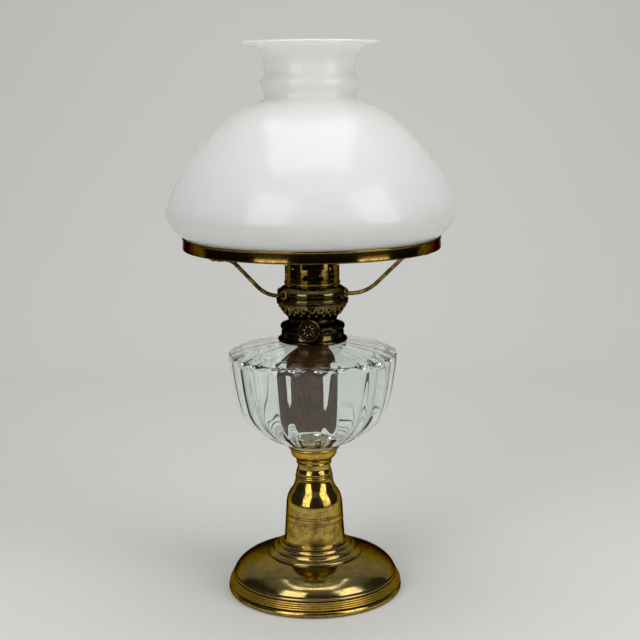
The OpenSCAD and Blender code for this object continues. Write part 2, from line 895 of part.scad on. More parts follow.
// Petalled rosettes threaded on the arms, against the sleeve.
module arm_rosettes() {
    petal_r = 1.5;
    color(dark_brass)
        for (a = arm_angles)
            rotate([0, 0, a])
                translate([holder_r + holder_wall + 0.1, 0, foot_arm_z])
                    rotate([0, 90, 0])
                        difference() {
                            union() {
                                cylinder(r = rosette_r - petal_r, h = rosette_t);
                                for (i = [0:rosette_petals - 1])
                                    rotate([0, 0, i * 360 / rosette_petals])
                                        translate([rosette_r - petal_r, 0, 0])
                                            cylinder(r = petal_r, h = rosette_t, $fn = 24);
                            }
                            translate([0, 0, -overlap])
                                cylinder(r = wire_r + seat_gap / 2, h = rosette_t + 2 * overlap);
                        }
}

// Shade ring: an upright band with an inward ledge that carries the shade.
module shade_ring() {
    color(dark_brass)
        difference() {
            union() {
                translate([0, 0, ring_z])
                    ring(ring_r, ring_r - ring_wall, ring_h);
                translate([0, 0, ring_z])
                    ring(ring_r, ring_r - ledge_w, ring_wall);
            }
            for (a = arm_angles)
                rotate([0, 0, a])
                    translate([rivet_at, 0, ring_z - overlap])
                        cylinder(r = rivet_r + seat_gap / 2, h = ring_wall + 2 * overlap);
        }
}

// Rivets that hold the arms to the ledge, with a round head below and a flat one above.
module arm_rivets() {
    head_h = 1.3;
    top_h = 0.8;
    color(dark_brass)
        for (a = arm_angles)
            rotate([0, 0, a])
                translate([rivet_at, 0, ring_z - tab_t])
                    union() {
                        cylinder(r = rivet_r, h = tab_t + ring_wall + top_h);
                        translate([0, 0, -head_h])
                            cylinder(r1 = 0.6 * rivet_head_r, r2 = rivet_head_r, h = head_h);
                        translate([0, 0, tab_t + ring_wall])
                            cylinder(r = rivet_head_r, h = top_h);
                    }
}

// Opal dome shade: fitter edge, belly, dome, waist with a bead, and the flared lip.
module shade_glass() {
    fitter_top = shade_z + fitter_h;
    waist_top = waist_z + waist_h;
    lip_top = shade_z + shade_h;
    dome_h = waist_z - belly_z;
    outline = concat(
        [[fitter_r, shade_z], [fitter_r, fitter_top]],
        curve([fitter_r, fitter_top], [fitter_r + 9, fitter_top + 5], [shade_r, belly_z - 9], [shade_r, belly_z], 8),
        curve([shade_r, belly_z], [shade_r, belly_z + 0.172 * dome_h],
            [shade_waist_r + 0.57 * (shade_r - shade_waist_r), waist_z - 0.167 * dome_h], [shade_waist_r, waist_z], 18),
        [[shade_waist_r, waist_top]],
        curve([shade_waist_r, waist_top], [shade_waist_r, waist_top + 0.72 * lip_h],
            [lip_r - 14, lip_top - 0.5 * shade_wall], [lip_r, lip_top - shade_wall], 8)
    );
    inside = inward(outline, shade_wall);
    lip_inside = [lip_r, lip_top];
    body = concat(outline, [lip_inside], backwards([for (i = [0:len(inside) - 2]) inside[i]]));
    color(opal_glass)
        union() {
            rotate_extrude()
                polygon(body);
            translate([0, 0, waist_z + 0.6 * waist_h])
                bead(shade_waist_r, waist_bead);
        }
}

foot_shell();
foot_weight();
tie_rod();
tie_washer();
tie_nuts();
stem_column();
stem_neck();
font_cup();
font_cement();
font_glass();
font_collar();
collar_cement();
burner_base();
air_basket();
burner_deck();
gallery();
wick_tube();
air_tube();
winder_gland();
winder_shaft();
winder_knob();
winder_sprockets();
wick();
holder_seat();
holder_arm_left();
holder_arm_right();
holder_arm_rear();
arm_rosettes();
shade_ring();
arm_rivets();
shade_glass();
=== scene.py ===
"""Looks of the kerosene table lamp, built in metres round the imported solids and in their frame.

The pedestal, the burner and the shade holder are turned and bent brass, the font is pressed glass, the wick
is woven cotton and the shade is opal glass. Sizes in the classes are millimetres.
"""
from __future__ import annotations

import json
import logging
from dataclasses import dataclass
from enum import Enum
from functools import partial
from math import atan2, cos, hypot, pi, radians, sin, tan, tau
from typing import Any, Callable, Mapping, Sequence, Union

import bmesh
import bpy
from bpy.types import Material, Mesh, Node, NodeSocket, NodeTree, Object
from mathutils import Matrix, Vector


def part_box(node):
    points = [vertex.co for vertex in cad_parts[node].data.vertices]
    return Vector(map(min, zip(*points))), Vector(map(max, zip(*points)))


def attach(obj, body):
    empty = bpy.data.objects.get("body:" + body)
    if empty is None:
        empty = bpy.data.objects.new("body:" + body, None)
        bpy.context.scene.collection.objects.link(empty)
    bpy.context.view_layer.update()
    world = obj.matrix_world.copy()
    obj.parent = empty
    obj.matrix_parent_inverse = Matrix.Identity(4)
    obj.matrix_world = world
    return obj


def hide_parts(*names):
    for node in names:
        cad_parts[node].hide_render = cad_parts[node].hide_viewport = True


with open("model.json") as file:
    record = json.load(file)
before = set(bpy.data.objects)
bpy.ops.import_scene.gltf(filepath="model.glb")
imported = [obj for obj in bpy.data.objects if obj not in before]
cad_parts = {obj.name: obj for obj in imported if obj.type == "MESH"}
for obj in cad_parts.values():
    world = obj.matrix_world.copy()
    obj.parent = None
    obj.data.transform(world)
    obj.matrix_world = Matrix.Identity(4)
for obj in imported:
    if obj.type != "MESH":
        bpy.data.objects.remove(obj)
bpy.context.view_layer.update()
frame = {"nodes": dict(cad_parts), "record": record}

MM = 0.001
LOG = logging.getLogger("lamp")

Point = tuple[float, float]
Pair = tuple[float, float]
Colour = tuple[float, float, float, float]
Adder = Callable[..., Node]


def linear(code: str) -> Colour:
    """Turns an sRGB hex colour into linear red, green, blue and alpha.

    Args:
        code: Six hex digits, with a leading hash.

    Returns:
        The linear colour, with an alpha of 1.
    """
    parts = [int(code[i:i + 2], 16) / 255 for i in (1, 3, 5)]
    red, green, blue = [c / 12.92 if c <= 0.04045 else ((c + 0.055) / 1.055) ** 2.4 for c in parts]
    return red, green, blue, 1.0


def add_node(tree: NodeTree, kind: str, links: Union[Mapping[str, Any], Sequence[Any]] = (),
             **settings: Any) -> Node:
    """Adds one node with its settings, its input values and its links.

    Args:
        tree: The tree that gets the node.
        kind: The node's type name, without ShaderNode in front of it.
        links: What goes into the inputs in use, by their names or in their order: a value, a socket, or a
            node, which gives its first output in use.
        settings: Properties of the node itself.

    Returns:
        The new node.
    """
    full = kind.startswith(("GeometryNode", "NodeGroup"))
    node = tree.nodes.new(kind if full else f"ShaderNode{kind}")
    for name, value in settings.items():
        setattr(node, name, value)
    used = [socket for socket in node.inputs if socket.enabled]
    named = {socket.name: socket for socket in used}
    by_name = isinstance(links, Mapping)
    fed = [(named[name], value) for name, value in links.items()] if by_name else zip(used, links)
    for socket, value in fed:
        if isinstance(value, Node):
            value = next(output for output in value.outputs if output.enabled)
        if isinstance(value, NodeSocket):
            tree.links.new(value, socket)
        else:
            socket.default_value = value
    return node


def curve(start: Point, leave: Point, arrive: Point, end: Point, steps: int) -> list[Point]:
    """Points of a cubic curve without its first point.

    Args:
        start: Where the curve starts.
        leave: Handle of the start.
        arrive: Handle of the end.
        end: Where the curve ends.
        steps: How many points to give.

    Returns:
        The points, the last of them the end.
    """
    points = []
    for i in range(1, steps + 1):
        t = i / steps
        u = 1 - t
        weights = (u ** 3, 3 * u * u * t, 3 * u * t * t, t ** 3)
        r, z = (sum(w * p for w, p in zip(weights, axis)) for axis in zip(start, leave, arrive, end))
        points.append((r, z))
    return points


def arc(centre: Point, radius: float, first: float, last: float, steps: int = 8) -> list[Point]:
    """Points of a round stretch.

    Args:
        centre: Middle of the circle, as radius and height.
        radius: Radius of the circle.
        first: First angle in degrees, from the outward direction.
        last: Last angle in degrees.
        steps: How many stretches the arc is cut into.

    Returns:
        The points from the first angle to the last.
    """
    turns = [radians(first + (last - first) * i / steps) for i in range(steps + 1)]
    return [(centre[0] + radius * cos(a), centre[1] + radius * sin(a)) for a in turns]


def inset(outline: Sequence[Point], wall: float) -> list[Point]:
    """Moves an open outline to its left by the wall, with mitred corners.

    Args:
        outline: Points that run upwards.
        wall: How far to move them.

    Returns:
        The moved points.
    """
    def left(a: Point, b: Point) -> Vector:
        """Unit vector to the left of the step from a to b."""
        return Vector((a[1] - b[1], b[0] - a[0])).normalized()

    last = len(outline) - 1
    moved = []
    for i, point in enumerate(outline):
        before = left(outline[max(i - 1, 0)], outline[max(i, 1)])
        after = left(outline[min(i, last - 1)], outline[min(i + 1, last)])
        shift = (before + after) * (wall / max(1 + before.dot(after), 0.3))
        moved.append((point[0] + shift.x, point[1] + shift.y))
    return moved


def shell(outline: Sequence[Point], wall: float) -> list[Point]:
    """Closed section of a thin wall, from its outside and its thickness."""
    return list(outline) + inset(outline, wall)[::-1]


def ramp(value: float, start: float, length: float) -> float:
    """Share of a stretch that a value has gone through, from 0 to 1."""
    return min(1.0, max(0.0, (value - start) / length))


def in_place(x: float, y: float, z: float) -> Matrix:
    """Matrix that moves a piece by so many millimetres."""
    return Matrix.Translation(Vector((x, y, z)) * MM)


def make_object(name: str, data: bpy.types.ID) -> Object:
    """Links a mesh, curve, lamp or camera into the scene.

    Args:
        name: Name of the object.
        data: What it shows.

    Returns:
        The new object.
    """
    piece = bpy.data.objects.new(name, data)
    bpy.context.scene.collection.objects.link(piece)
    return piece


def smooth(piece: Object, crease: float) -> Object:
    """Shades a piece smoothly, apart from edges sharper than the crease.

    Args:
        piece: The mesh object.
        crease: Angle in degrees from which an edge stays sharp.

    Returns:
        The same object.
    """
    piece.data.shade_smooth()
    piece.data.set_sharp_from_angle(angle=radians(crease))
    return piece


def mend(mesh: Mesh, reach: float = 1e-6) -> None:
    """Merges doubled points and turns every face outwards.

    Args:
        mesh: The mesh to mend.
        reach: Distance in metres under which points are merged.
    """
    work = bmesh.new()
    work.from_mesh(mesh)
    bmesh.ops.remove_doubles(work, verts=work.verts, dist=reach)
    bmesh.ops.dissolve_degenerate(work, edges=work.edges, dist=reach)
    bmesh.ops.recalc_face_normals(work, faces=work.faces)
    work.to_mesh(mesh)
    work.free()


def from_faces(name: str, points: Sequence[Any], faces: Sequence[Any], crease: float,
               mended: bool = True) -> Object:
    """Makes a smoothly shaded piece from its points and faces.

    Args:
        name: Name of the piece.
        points: Corners, in metres.
        faces: The numbers of each face's corners.
        crease: Angle in degrees from which an edge stays sharp.
        mended: Whether doubled points are merged and faces turned outwards.

    Returns:
        The piece.
    """
    mesh = bpy.data.meshes.new(name)
    mesh.from_pydata(points, [], faces)
    if mended:
        mend(mesh)
    return smooth(make_object(name, mesh), crease)


def revolve(name: str, loop: Sequence[Point], steps: int = 144, crease: float = 32.0) -> Object:
    """Turns a closed loop about the lamp's axis.

    Args:
        name: Name of the piece.
        loop: Closed section as radius and height in millimetres.
        steps: Number of steps round the axis.
        crease: Angle in degrees from which an edge stays sharp.

    Returns:
        The turned piece.
    """
    count = len(loop)
    turns = [2 * pi * k / steps for k in range(steps)]
    points = [(r * MM * cos(a), r * MM * sin(a), z * MM) for a in turns for r, z in loop]
    faces = []
    for k in range(steps):
        near, far = k * count, (k + 1) % steps * count
        faces += [(near + i, far + i, far + (i + 1) % count, near + (i + 1) % count) for i in range(count)]
    return from_faces(name, points, faces, crease)


def evaluated(piece: Object) -> Mesh:
    """Plain mesh of a piece, with its modifiers worked in.

    Args:
        piece: Mesh or curve object.

    Returns:
        The new mesh.
    """
    bpy.context.view_layer.update()
    view = bpy.context.evaluated_depsgraph_get()
    return bpy.data.meshes.new_from_object(piece.evaluated_get(view), depsgraph=view)


class Body(Enum):
    """Bodies of the lamp that move on their own."""

    PEDESTAL = "pedestal"
    BURNER = "burner"
    WINDER = "winder"
    WICK = "wick_sheet"
    HOLDER = "holder"
    SHADE = "shade"


class Slot(Enum):
    """Names of the material slots in the lamp's record."""

    BRIGHT_BRASS = "bright_brass"
    DARK_BRASS = "dark_brass"
    CLEAR_GLASS = "clear_glass"
    OPAL_GLASS = "opal_glass"
    COTTON = "cotton"


def per_mm(size: float) -> float:
    """Noise scale that gives features of about this size in millimetres."""
    return 1 / (size * MM)


def waves_of(size: float) -> float:
    """Wave scale that gives one band in this many millimetres; at scale 1 a band is tau / 20 long."""
    return tau / 20 * per_mm(size)


@dataclass(frozen=True)
class Finish:
    """What a surface is made of and how it was worked."""

    name: str

    def surface(self, add: Adder) -> Node:
        """Adds the nodes of the finish and gives its last shader; each finish has its own."""
        raise NotImplementedError

    def build(self) -> Material:
        """Makes the material.

        Returns:
            The material, named for the finish.
        """
        material = bpy.data.materials.new(self.name)
        material.use_nodes = True
        material.node_tree.nodes.clear()
        add = partial(add_node, material.node_tree)
        add("OutputMaterial", [self.surface(add)])
        return material


@dataclass(frozen=True)
class Mottled(Finish):
    """A plain material with two tones and an uneven surface, such as iron, steel or plaster."""

    tone: str
    second: str
    metallic: float
    roughness: Pair
    grain_mm: float
    bump_mm: float
    grain_range: Pair = (0.3, 0.7)

    def surface(self, add: Adder) -> Node:
        """Lets one grain vary tone, roughness and height.

        Args:
            add: Adds a node to the material's tree.

        Returns:
            The shader.
        """
        place = add("TexCoord").outputs["Object"]
        grain = add("TexNoise", {"Vector": place, "Scale": per_mm(self.grain_mm), "Detail": 6.0})
        tone = add("Mix", [grain, linear(self.tone), linear(self.second)], data_type="RGBA")
        rough = add("MapRange", [grain, *self.grain_range, *self.roughness])
        bump = add("Bump", {"Height": grain, "Strength": 0.6, "Distance": self.bump_mm * MM})
        return add("BsdfPrincipled", {"Base Color": tone, "Roughness": rough, "Normal": bump,
                                                "Metallic": self.metallic})


@dataclass(frozen=True)
class StudioPaper(Finish):
    """Rolled background paper, matte, with painted light: pale round the lamp and behind it, painted dark
    far from it.

    Its places are in metres. The brass mirrors the dark part, as it mirrors a dark room in the photograph.
    """

    name: str = "rolled background paper, matte"
    pale: str = "#dededa"
    # The painted shade far from the lamp, standing in for a dim room.
    dark: str = "#2c2c2b"
    bend: Pair = (0.1, 1.0)
    # Distances in metres over which the painted light darkens into the painted shade.
    painted_light_reach: Pair = (0.55, 1.25)
    squeeze: float = 1.15
    behind: Pair = (0.3, 0.8)
    glow: Pair = (0.06, 0.2)
    roughness: float = 0.95
    sheen: float = 0.1

    def surface(self, add: Adder) -> Node:
        """Spreads the painted light and shade; the glow shows directly, in mirrors and through glass, and
        lights nothing.

        Args:
            add: Adds a node to the material's tree.

        Returns:
            The shader.
        """
        rays = add("LightPath").outputs
        mirror = add("Math", [rays["Is Camera Ray"], rays["Is Glossy Ray"]], operation="MAXIMUM")
        seen = add("Math", [mirror, rays["Is Transmission Ray"]], operation="MAXIMUM")
        axes = add("SeparateXYZ", [add("TexCoord").outputs["Object"]]).outputs
        depth = add("MapRange", [axes["Y"], *self.bend, *self.glow])
        glow = add("Math", [seen, depth], operation="MULTIPLY")
        near = add("Math", [axes["Y"], 0.0], operation="MINIMUM")
        ahead = add("Math", [near, self.squeeze], operation="MULTIPLY")
        # Behind the lamp the paper stays pale all the way to its sides.
        open_side = add("MapRange", [axes["Y"], *self.behind, 1.0, 0.0])
        aside = add("Math", [axes["X"], open_side], operation="MULTIPLY")
        away = add("VectorMath", [add("CombineXYZ", [aside, ahead])], operation="LENGTH")
        # Painted shade: the paper darkens with distance from the lamp.
        painted_darkening = add("MapRange", [away, *self.painted_light_reach], interpolation_type="SMOOTHSTEP")
        tone = add("Mix", [painted_darkening, linear(self.pale), linear(self.dark)], data_type="RGBA")
        return add("BsdfPrincipled", {"Base Color": tone, "Roughness": self.roughness,
                                                "Specular IOR Level": self.sheen, "Emission Color": tone,
                                                "Emission Strength": glow})


@dataclass(frozen=True)
class AgedBrass(Finish):
    """Spun brass: a mirror where rubbed, tarnish in clouds, bright edges, soiled pits, and grooves darkened
    by painted shade with some real soil in them.

    Pits and turning lines are drawn coarser than real ones, which would be too fine to show.
    """

    clean: str
    tarnish: str
    # Tone of the soiled pits, and of the painted shade in grooves.
    grime_and_shade: str
    edge_tint: str
    tarnish_range: Pair
    roughness: Pair
    cloud_mm: float = 16.0
    pit_mm: float = 1.3
    pit_share: float = 0.6
    pit_range: Pair = (0.6, 0.7)
    line_mm: float = 0.5
    line_deep_mm: float = 0.04
    dent_deep_mm: float = 0.2
    # Painted shade in grooves: how far a point looks for cover, over what range it darkens, and how dark it
    # gets.
    groove_mm: float = 3.0
    groove_range: Pair = (0.45, 0.85)
    groove_share: float = 0.92
    edge_mm: float = 1.6
    edge_range: Pair = (0.35, 0.8)
    edge_share: float = 0.25
    # Extra roughness in the soiled pits and in the shaded grooves.
    pit_and_groove_rough: float = 0.25
    rubbed_from: float = 0.0
    rubbed_fade: float = 10.0
    dull_share: float = 0.0
    samples: int = 6

    def surface(self, add: Adder) -> Node:
        """Lays tarnish, soiled pits and painted shade in grooves on clean brass; under the height
        rubbed_from the tarnish is thicker.

        Args:
            add: Adds a node to the material's tree.

        Returns:
            The shader.
        """
        place = add("TexCoord").outputs["Object"]
        cloud = add("TexNoise", {"Vector": place, "Scale": per_mm(self.cloud_mm), "Detail": 7.0,
                                           "Roughness": 0.62, "Distortion": 0.4})
        pits = add("TexNoise", {"Vector": place, "Scale": per_mm(self.pit_mm), "Detail": 3.0})
        # Turning lines run round the axis, so they depend only on the distance from it and on the height.
        axes = add("SeparateXYZ", [place]).outputs
        flat = add("CombineXYZ", [axes["X"], axes["Y"]])
        away = add("VectorMath", [flat], operation="LENGTH")
        rings = add("CombineXYZ", {"X": away, "Z": axes["Z"]})
        lines = add("TexNoise", {"Vector": rings, "Scale": per_mm(self.line_mm), "Detail": 2.0})
        rubbed = [(self.rubbed_from - self.rubbed_fade) * MM, self.rubbed_from * MM]
        dull = add("MapRange", [axes["Z"], *rubbed, self.dull_share, 0.0])
        spread = add("MapRange", [cloud, *self.tarnish_range])
        film = add("Math", [spread, dull], operation="ADD", use_clamp=True)
        corner = add("AmbientOcclusion", {"Distance": self.edge_mm * MM}, samples=self.samples,
                     inside=True, only_local=True)
        kept = add("MapRange", [corner.outputs["AO"], *self.edge_range, self.edge_share])
        amount = add("Math", [film, kept], operation="MULTIPLY")
        metal = add("Mix", [amount, linear(self.clean), linear(self.tarnish)], data_type="RGBA")
        # Painted shade, with some real soil: grooves and hollows darken by how hidden they are.
        shade = add("AmbientOcclusion", {"Distance": self.groove_mm * MM}, samples=self.samples,
                    only_local=True)
        groove_shade = add("MapRange", [shade.outputs["AO"], *self.groove_range, self.groove_share, 0.0])
        speck = add("MapRange", [pits, *self.pit_range, 0.0, self.pit_share])
        pits_and_groove_shade = add("Math", [groove_shade, speck], operation="MAXIMUM")
        colour = add("Mix", [pits_and_groove_shade, metal, linear(self.grime_and_shade)], data_type="RGBA")
        rough = add("MapRange", [amount, 0.0, 1.0, *self.roughness])
        worn = add("Math", [pits_and_groove_shade, self.pit_and_groove_rough, rough], operation="MULTIPLY_ADD")
        ridges = add("Bump", {"Height": lines, "Strength": 0.1, "Distance": self.line_deep_mm * MM})
        dents = add("Bump", {"Height": cloud, "Strength": 0.12, "Distance": self.dent_deep_mm * MM,
                                       "Normal": ridges})
        return add("BsdfPrincipled", {"Base Color": colour, "Roughness": worn, "Normal": dents,
                                                "Metallic": 1.0, "Specular Tint": linear(self.edge_tint)})


@dataclass(frozen=True)
class PressedGlass(Finish):
    """Clear soda glass from a mould: bright, a little wavy, with fire-polished lobes."""

    name: str = "pressed soda glass, clear"
    tint: str = "#fbfffd"
    shadow: str = "#eef0ec"
    ior: float = 1.5
    wave_mm: float = 22.0
    wave_deep_mm: float = 0.4

    def surface(self, add: Adder) -> Node:
        """Lets lamplight pass straight through, so that the wick inside is lit and the shadow is light.

        Args:
            add: Adds a node to the material's tree.

        Returns:
            The shader.
        """
        place = add("TexCoord").outputs["Object"]
        wave = add("TexNoise", {"Vector": place, "Scale": per_mm(self.wave_mm), "Detail": 1.0})
        bump = add("Bump", {"Height": wave, "Strength": 0.12, "Distance": self.wave_deep_mm * MM})
        glass = add("BsdfPrincipled", {"Base Color": linear(self.tint), "Roughness": 0.0, "Normal": bump,
                                                 "IOR": self.ior, "Transmission Weight": 1.0})
        clear = add("BsdfTransparent", [linear(self.shadow)])
        return add("MixShader", [add("LightPath").outputs["Is Shadow Ray"], glass, clear])


@dataclass(frozen=True)
class OpalGlass(Finish):
    """Blown opal glass: milk white, with light a little inside it and faint swirls in its gloss."""

    name: str = "blown opal glass, glossy"
    tone: str = "#f5fbf2"
    second: str = "#f0f7ed"
    roughness: float = 0.16
    ior: float = 1.52
    gloss: float = 0.4
    depth_mm: tuple[float, float, float] = (9.0, 9.0, 8.6)
    swirl_mm: float = 60.0
    swirl_deep_mm: float = 0.8

    def surface(self, add: Adder) -> Node:
        """Puts the light under the surface and the swirls on it.

        Args:
            add: Adds a node to the material's tree.

        Returns:
            The shader.
        """
        place = add("TexCoord").outputs["Object"]
        swirl = add("TexNoise", {"Vector": place, "Scale": per_mm(self.swirl_mm), "Detail": 3.0,
                                           "Distortion": 1.0})
        tone = add("Mix", [swirl, linear(self.tone), linear(self.second)], data_type="RGBA")
        bump = add("Bump", {"Height": swirl, "Strength": 0.2, "Distance": self.swirl_deep_mm * MM})
        return add("BsdfPrincipled", {
            "Base Color": tone, "Roughness": self.roughness, "IOR": self.ior, "Normal": bump,
            "Specular IOR Level": self.gloss, "Subsurface Weight": 1.0, "Subsurface Scale": 1.0,
            "Subsurface Radius": [depth * MM for depth in self.depth_mm]})


@dataclass(frozen=True)
class WovenCotton(Finish):
    """Flat-woven cotton, browned by oil: ribs along the wick with a tighter thread across them.

    Ribs and threads are drawn about twice as coarse as real ones, which would be too fine to show.
    """

    name: str = "woven cotton wick, oil-soaked"
    thread: str = "#4a2c12"
    gap: str = "#0d0804"
    rib_mm: float = 2.2
    thread_mm: float = 1.3
    thread_deep_mm: float = 0.4
    stain_mm: float = 9.0
    tone_range: Pair = (0.25, 1.1)
    roughness: float = 0.9
    sheen: float = 0.08

    def surface(self, add: Adder) -> Node:
        """Weaves ribs and threads on the sheet's own map, which is in metres.

        Args:
            add: Adds a node to the material's tree.

        Returns:
            The shader.
        """
        coords = add("TexCoord").outputs
        rib, weft = [add("TexWave", {"Vector": coords["UV"], "Scale": waves_of(size), "Distortion": 0.6},
                         bands_direction=way).outputs["Fac"]
                     for size, way in ((self.rib_mm, "X"), (self.thread_mm, "Y"))]
        weave = add("Math", [rib, weft], operation="MULTIPLY")
        stain = add("TexNoise", {"Vector": coords["Object"], "Scale": per_mm(self.stain_mm), "Detail": 5.0})
        tone = add("Math", [weave, stain], operation="ADD")
        level = add("MapRange", [tone, *self.tone_range])
        colour = add("Mix", [level, linear(self.gap), linear(self.thread)], data_type="RGBA")
        bump = add("Bump", {"Height": weave, "Strength": 0.8, "Distance": self.thread_deep_mm * MM})
        return add("BsdfPrincipled", {"Base Color": colour, "Roughness": self.roughness, "Normal": bump,
                                                "Specular IOR Level": self.sheen})


def geometry_tree(name: str, **sizes: str) -> tuple[NodeTree, Adder, Any]:
    """Starts a geometry tree with a named input for each size and one for the material.

    Args:
        name: Name of the tree.
        sizes: Input name to the kind of number, Int or Float.

    Returns:
        The tree, what adds a node to it, and its inputs.
    """
    tree = bpy.data.node_groups.new(name, "GeometryNodeTree")
    tree.interface.new_socket("Geometry", in_out="OUTPUT", socket_type="NodeSocketGeometry")
    for label, kind in {"Geometry": "Geometry", **sizes, "Material": "Material"}.items():
        tree.interface.new_socket(label, in_out="INPUT", socket_type=f"NodeSocket{kind}")
    add = partial(add_node, tree)
    return tree, add, add("NodeGroupInput").outputs


def run_tree(piece: Object, tree: NodeTree, **values: Any) -> Object:
    """Runs a geometry tree on a piece and keeps the result as a plain mesh.

    Args:
        piece: The piece that enters the tree.
        tree: The tree to run.
        values: Input name to value.

    Returns:
        The same object with its new mesh.
    """
    modifier = piece.modifiers.new(tree.name, "NODES")
    modifier.node_group = tree
    for item in tree.interface.items_tree:
        if item.in_out == "INPUT" and item.name in values:
            modifier[item.identifier] = values[item.name]
    mesh = evaluated(piece)
    piece.modifiers.clear()
    piece.data = mesh
    return piece


def ring_of_copies() -> NodeTree:
    """Tree that sets copies of a motif round the lamp's axis.

    Returns:
        The tree, with inputs Count, Start and Material.
    """
    tree, add, given = geometry_tree("ring of copies", Count="Int", Start="Float")
    points = add("GeometryNodePoints", [given["Count"]])
    pitch = add("Math", [tau, given["Count"]], operation="DIVIDE")
    turn = add("Math", [add("GeometryNodeInputIndex"), pitch, given["Start"]], operation="MULTIPLY_ADD")
    copies = add("GeometryNodeInstanceOnPoints", {"Points": points, "Instance": given["Geometry"],
                                                  "Rotation": add("CombineXYZ", {"Z": turn})})
    real = add("GeometryNodeRealizeInstances", [copies])
    joined = add("GeometryNodeMergeByDistance", {"Geometry": real, "Distance": 0.002 * MM})
    dressed = add("GeometryNodeSetMaterial", {"Geometry": joined, "Material": given["Material"]})
    add("NodeGroupOutput", [dressed])
    return tree


def lobed_wall() -> NodeTree:
    """Tree that presses lobes into a turned wall, as deep as the wall's lobe attribute says.

    Returns:
        The tree, with inputs Lobes, Depth, Phase, Swing and Material. Swing narrows every second lobe.
    """
    tree, add, given = geometry_tree("lobed wall", Lobes="Int", Depth="Float", Phase="Float", Swing="Float")
    axes = add("SeparateXYZ", [add("GeometryNodeInputPosition")]).outputs
    angle = add("Math", [axes["Y"], axes["X"]], operation="ARCTAN2")
    turned = add("Math", [angle, given["Phase"]], operation="SUBTRACT")
    half = add("Math", [given["Lobes"], 0.5], operation="MULTIPLY")
    phase = add("Math", [turned, half], operation="MULTIPLY")
    beat = add("Math", [phase], operation="COSINE")
    lag = add("Math", [1.0, beat], operation="SUBTRACT")
    late = add("Math", [lag, given["Swing"]], operation="MULTIPLY")
    uneven = add("Math", [phase, late], operation="SUBTRACT")
    wave = add("Math", [uneven], operation="SINE")
    crest = add("Math", [wave], operation="ABSOLUTE")
    hollow = add("Math", [crest, 1.0], operation="SUBTRACT")
    share = add("GeometryNodeInputNamedAttribute", ["lobe"], data_type="FLOAT")
    local = add("Math", [share, given["Depth"]], operation="MULTIPLY")
    depth = add("Math", [hollow, local], operation="MULTIPLY")
    shift = add("VectorMath", [add("GeometryNodeInputNormal"), depth], operation="SCALE")
    moved = add("GeometryNodeSetPosition", {"Geometry": given["Geometry"], "Offset": shift})
    real = add("GeometryNodeRealizeInstances", [moved])
    dressed = add("GeometryNodeSetMaterial", {"Geometry": real, "Material": given["Material"]})
    add("NodeGroupOutput", [dressed])
    return tree


def heights(node: str) -> Pair:
    """Lowest and highest point of a solid, in millimetres."""
    low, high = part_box(node)
    return low[2] / MM, high[2] / MM


def reach(node: str) -> float:
    """How far a round solid reaches from the lamp's axis, in millimetres."""
    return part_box(node)[1][0] / MM


def dress(piece: Object, *materials: Material) -> Object:
    """Gives a piece its materials, in the place of any it has.

    Args:
        piece: The mesh object.
        materials: The materials, the main one first.

    Returns:
        The same object.
    """
    piece.data.materials.clear()
    for material in materials:
        piece.data.materials.append(material)
    return piece


def publish(piece: Object, body: Body, slot: Slot, *nodes: str) -> None:
    """Hands a finished piece to the frame and reports it.

    Args:
        piece: The piece, in place.
        body: The body that it moves with.
        slot: The record's slot of its finish; not used.
        nodes: The solids that it stands for.
    """
    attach(piece, body.value)
    if nodes:
        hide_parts(*nodes)
    LOG.info("%s: %d faces on %s", piece.name, len(piece.data.polygons), body.value)


def join(name: str, pieces: Sequence[Object]) -> Object:
    """Joins several meshes into one new piece.

    Args:
        name: Name of the new piece.
        pieces: Objects that sit at the origin; they are removed.

    Returns:
        The joined piece.
    """
    work = bmesh.new()
    for piece in pieces:
        work.from_mesh(piece.data)
        bpy.data.objects.remove(piece)
    mesh = bpy.data.meshes.new(name)
    work.to_mesh(mesh)
    work.free()
    return make_object(name, mesh)


def engraved(radius: float, z: float, depth: float) -> list[Point]:
    """Outline of a fine line cut round a wall, upwards past its middle height z."""
    return [(radius, z - 0.4), (radius - depth, z - 0.1), (radius - depth, z + 0.1), (radius, z + 0.4)]


def screw(root: float, crest: float, first: float, pitch: float, turns: int) -> list[Point]:
    """Outline of a screw thread, from the height of its first root."""
    ridge = ((root, 0.0), (crest, 0.3), (root, 0.6))
    return [(radius, first + pitch * (i + share)) for i in range(turns) for radius, share in ridge]


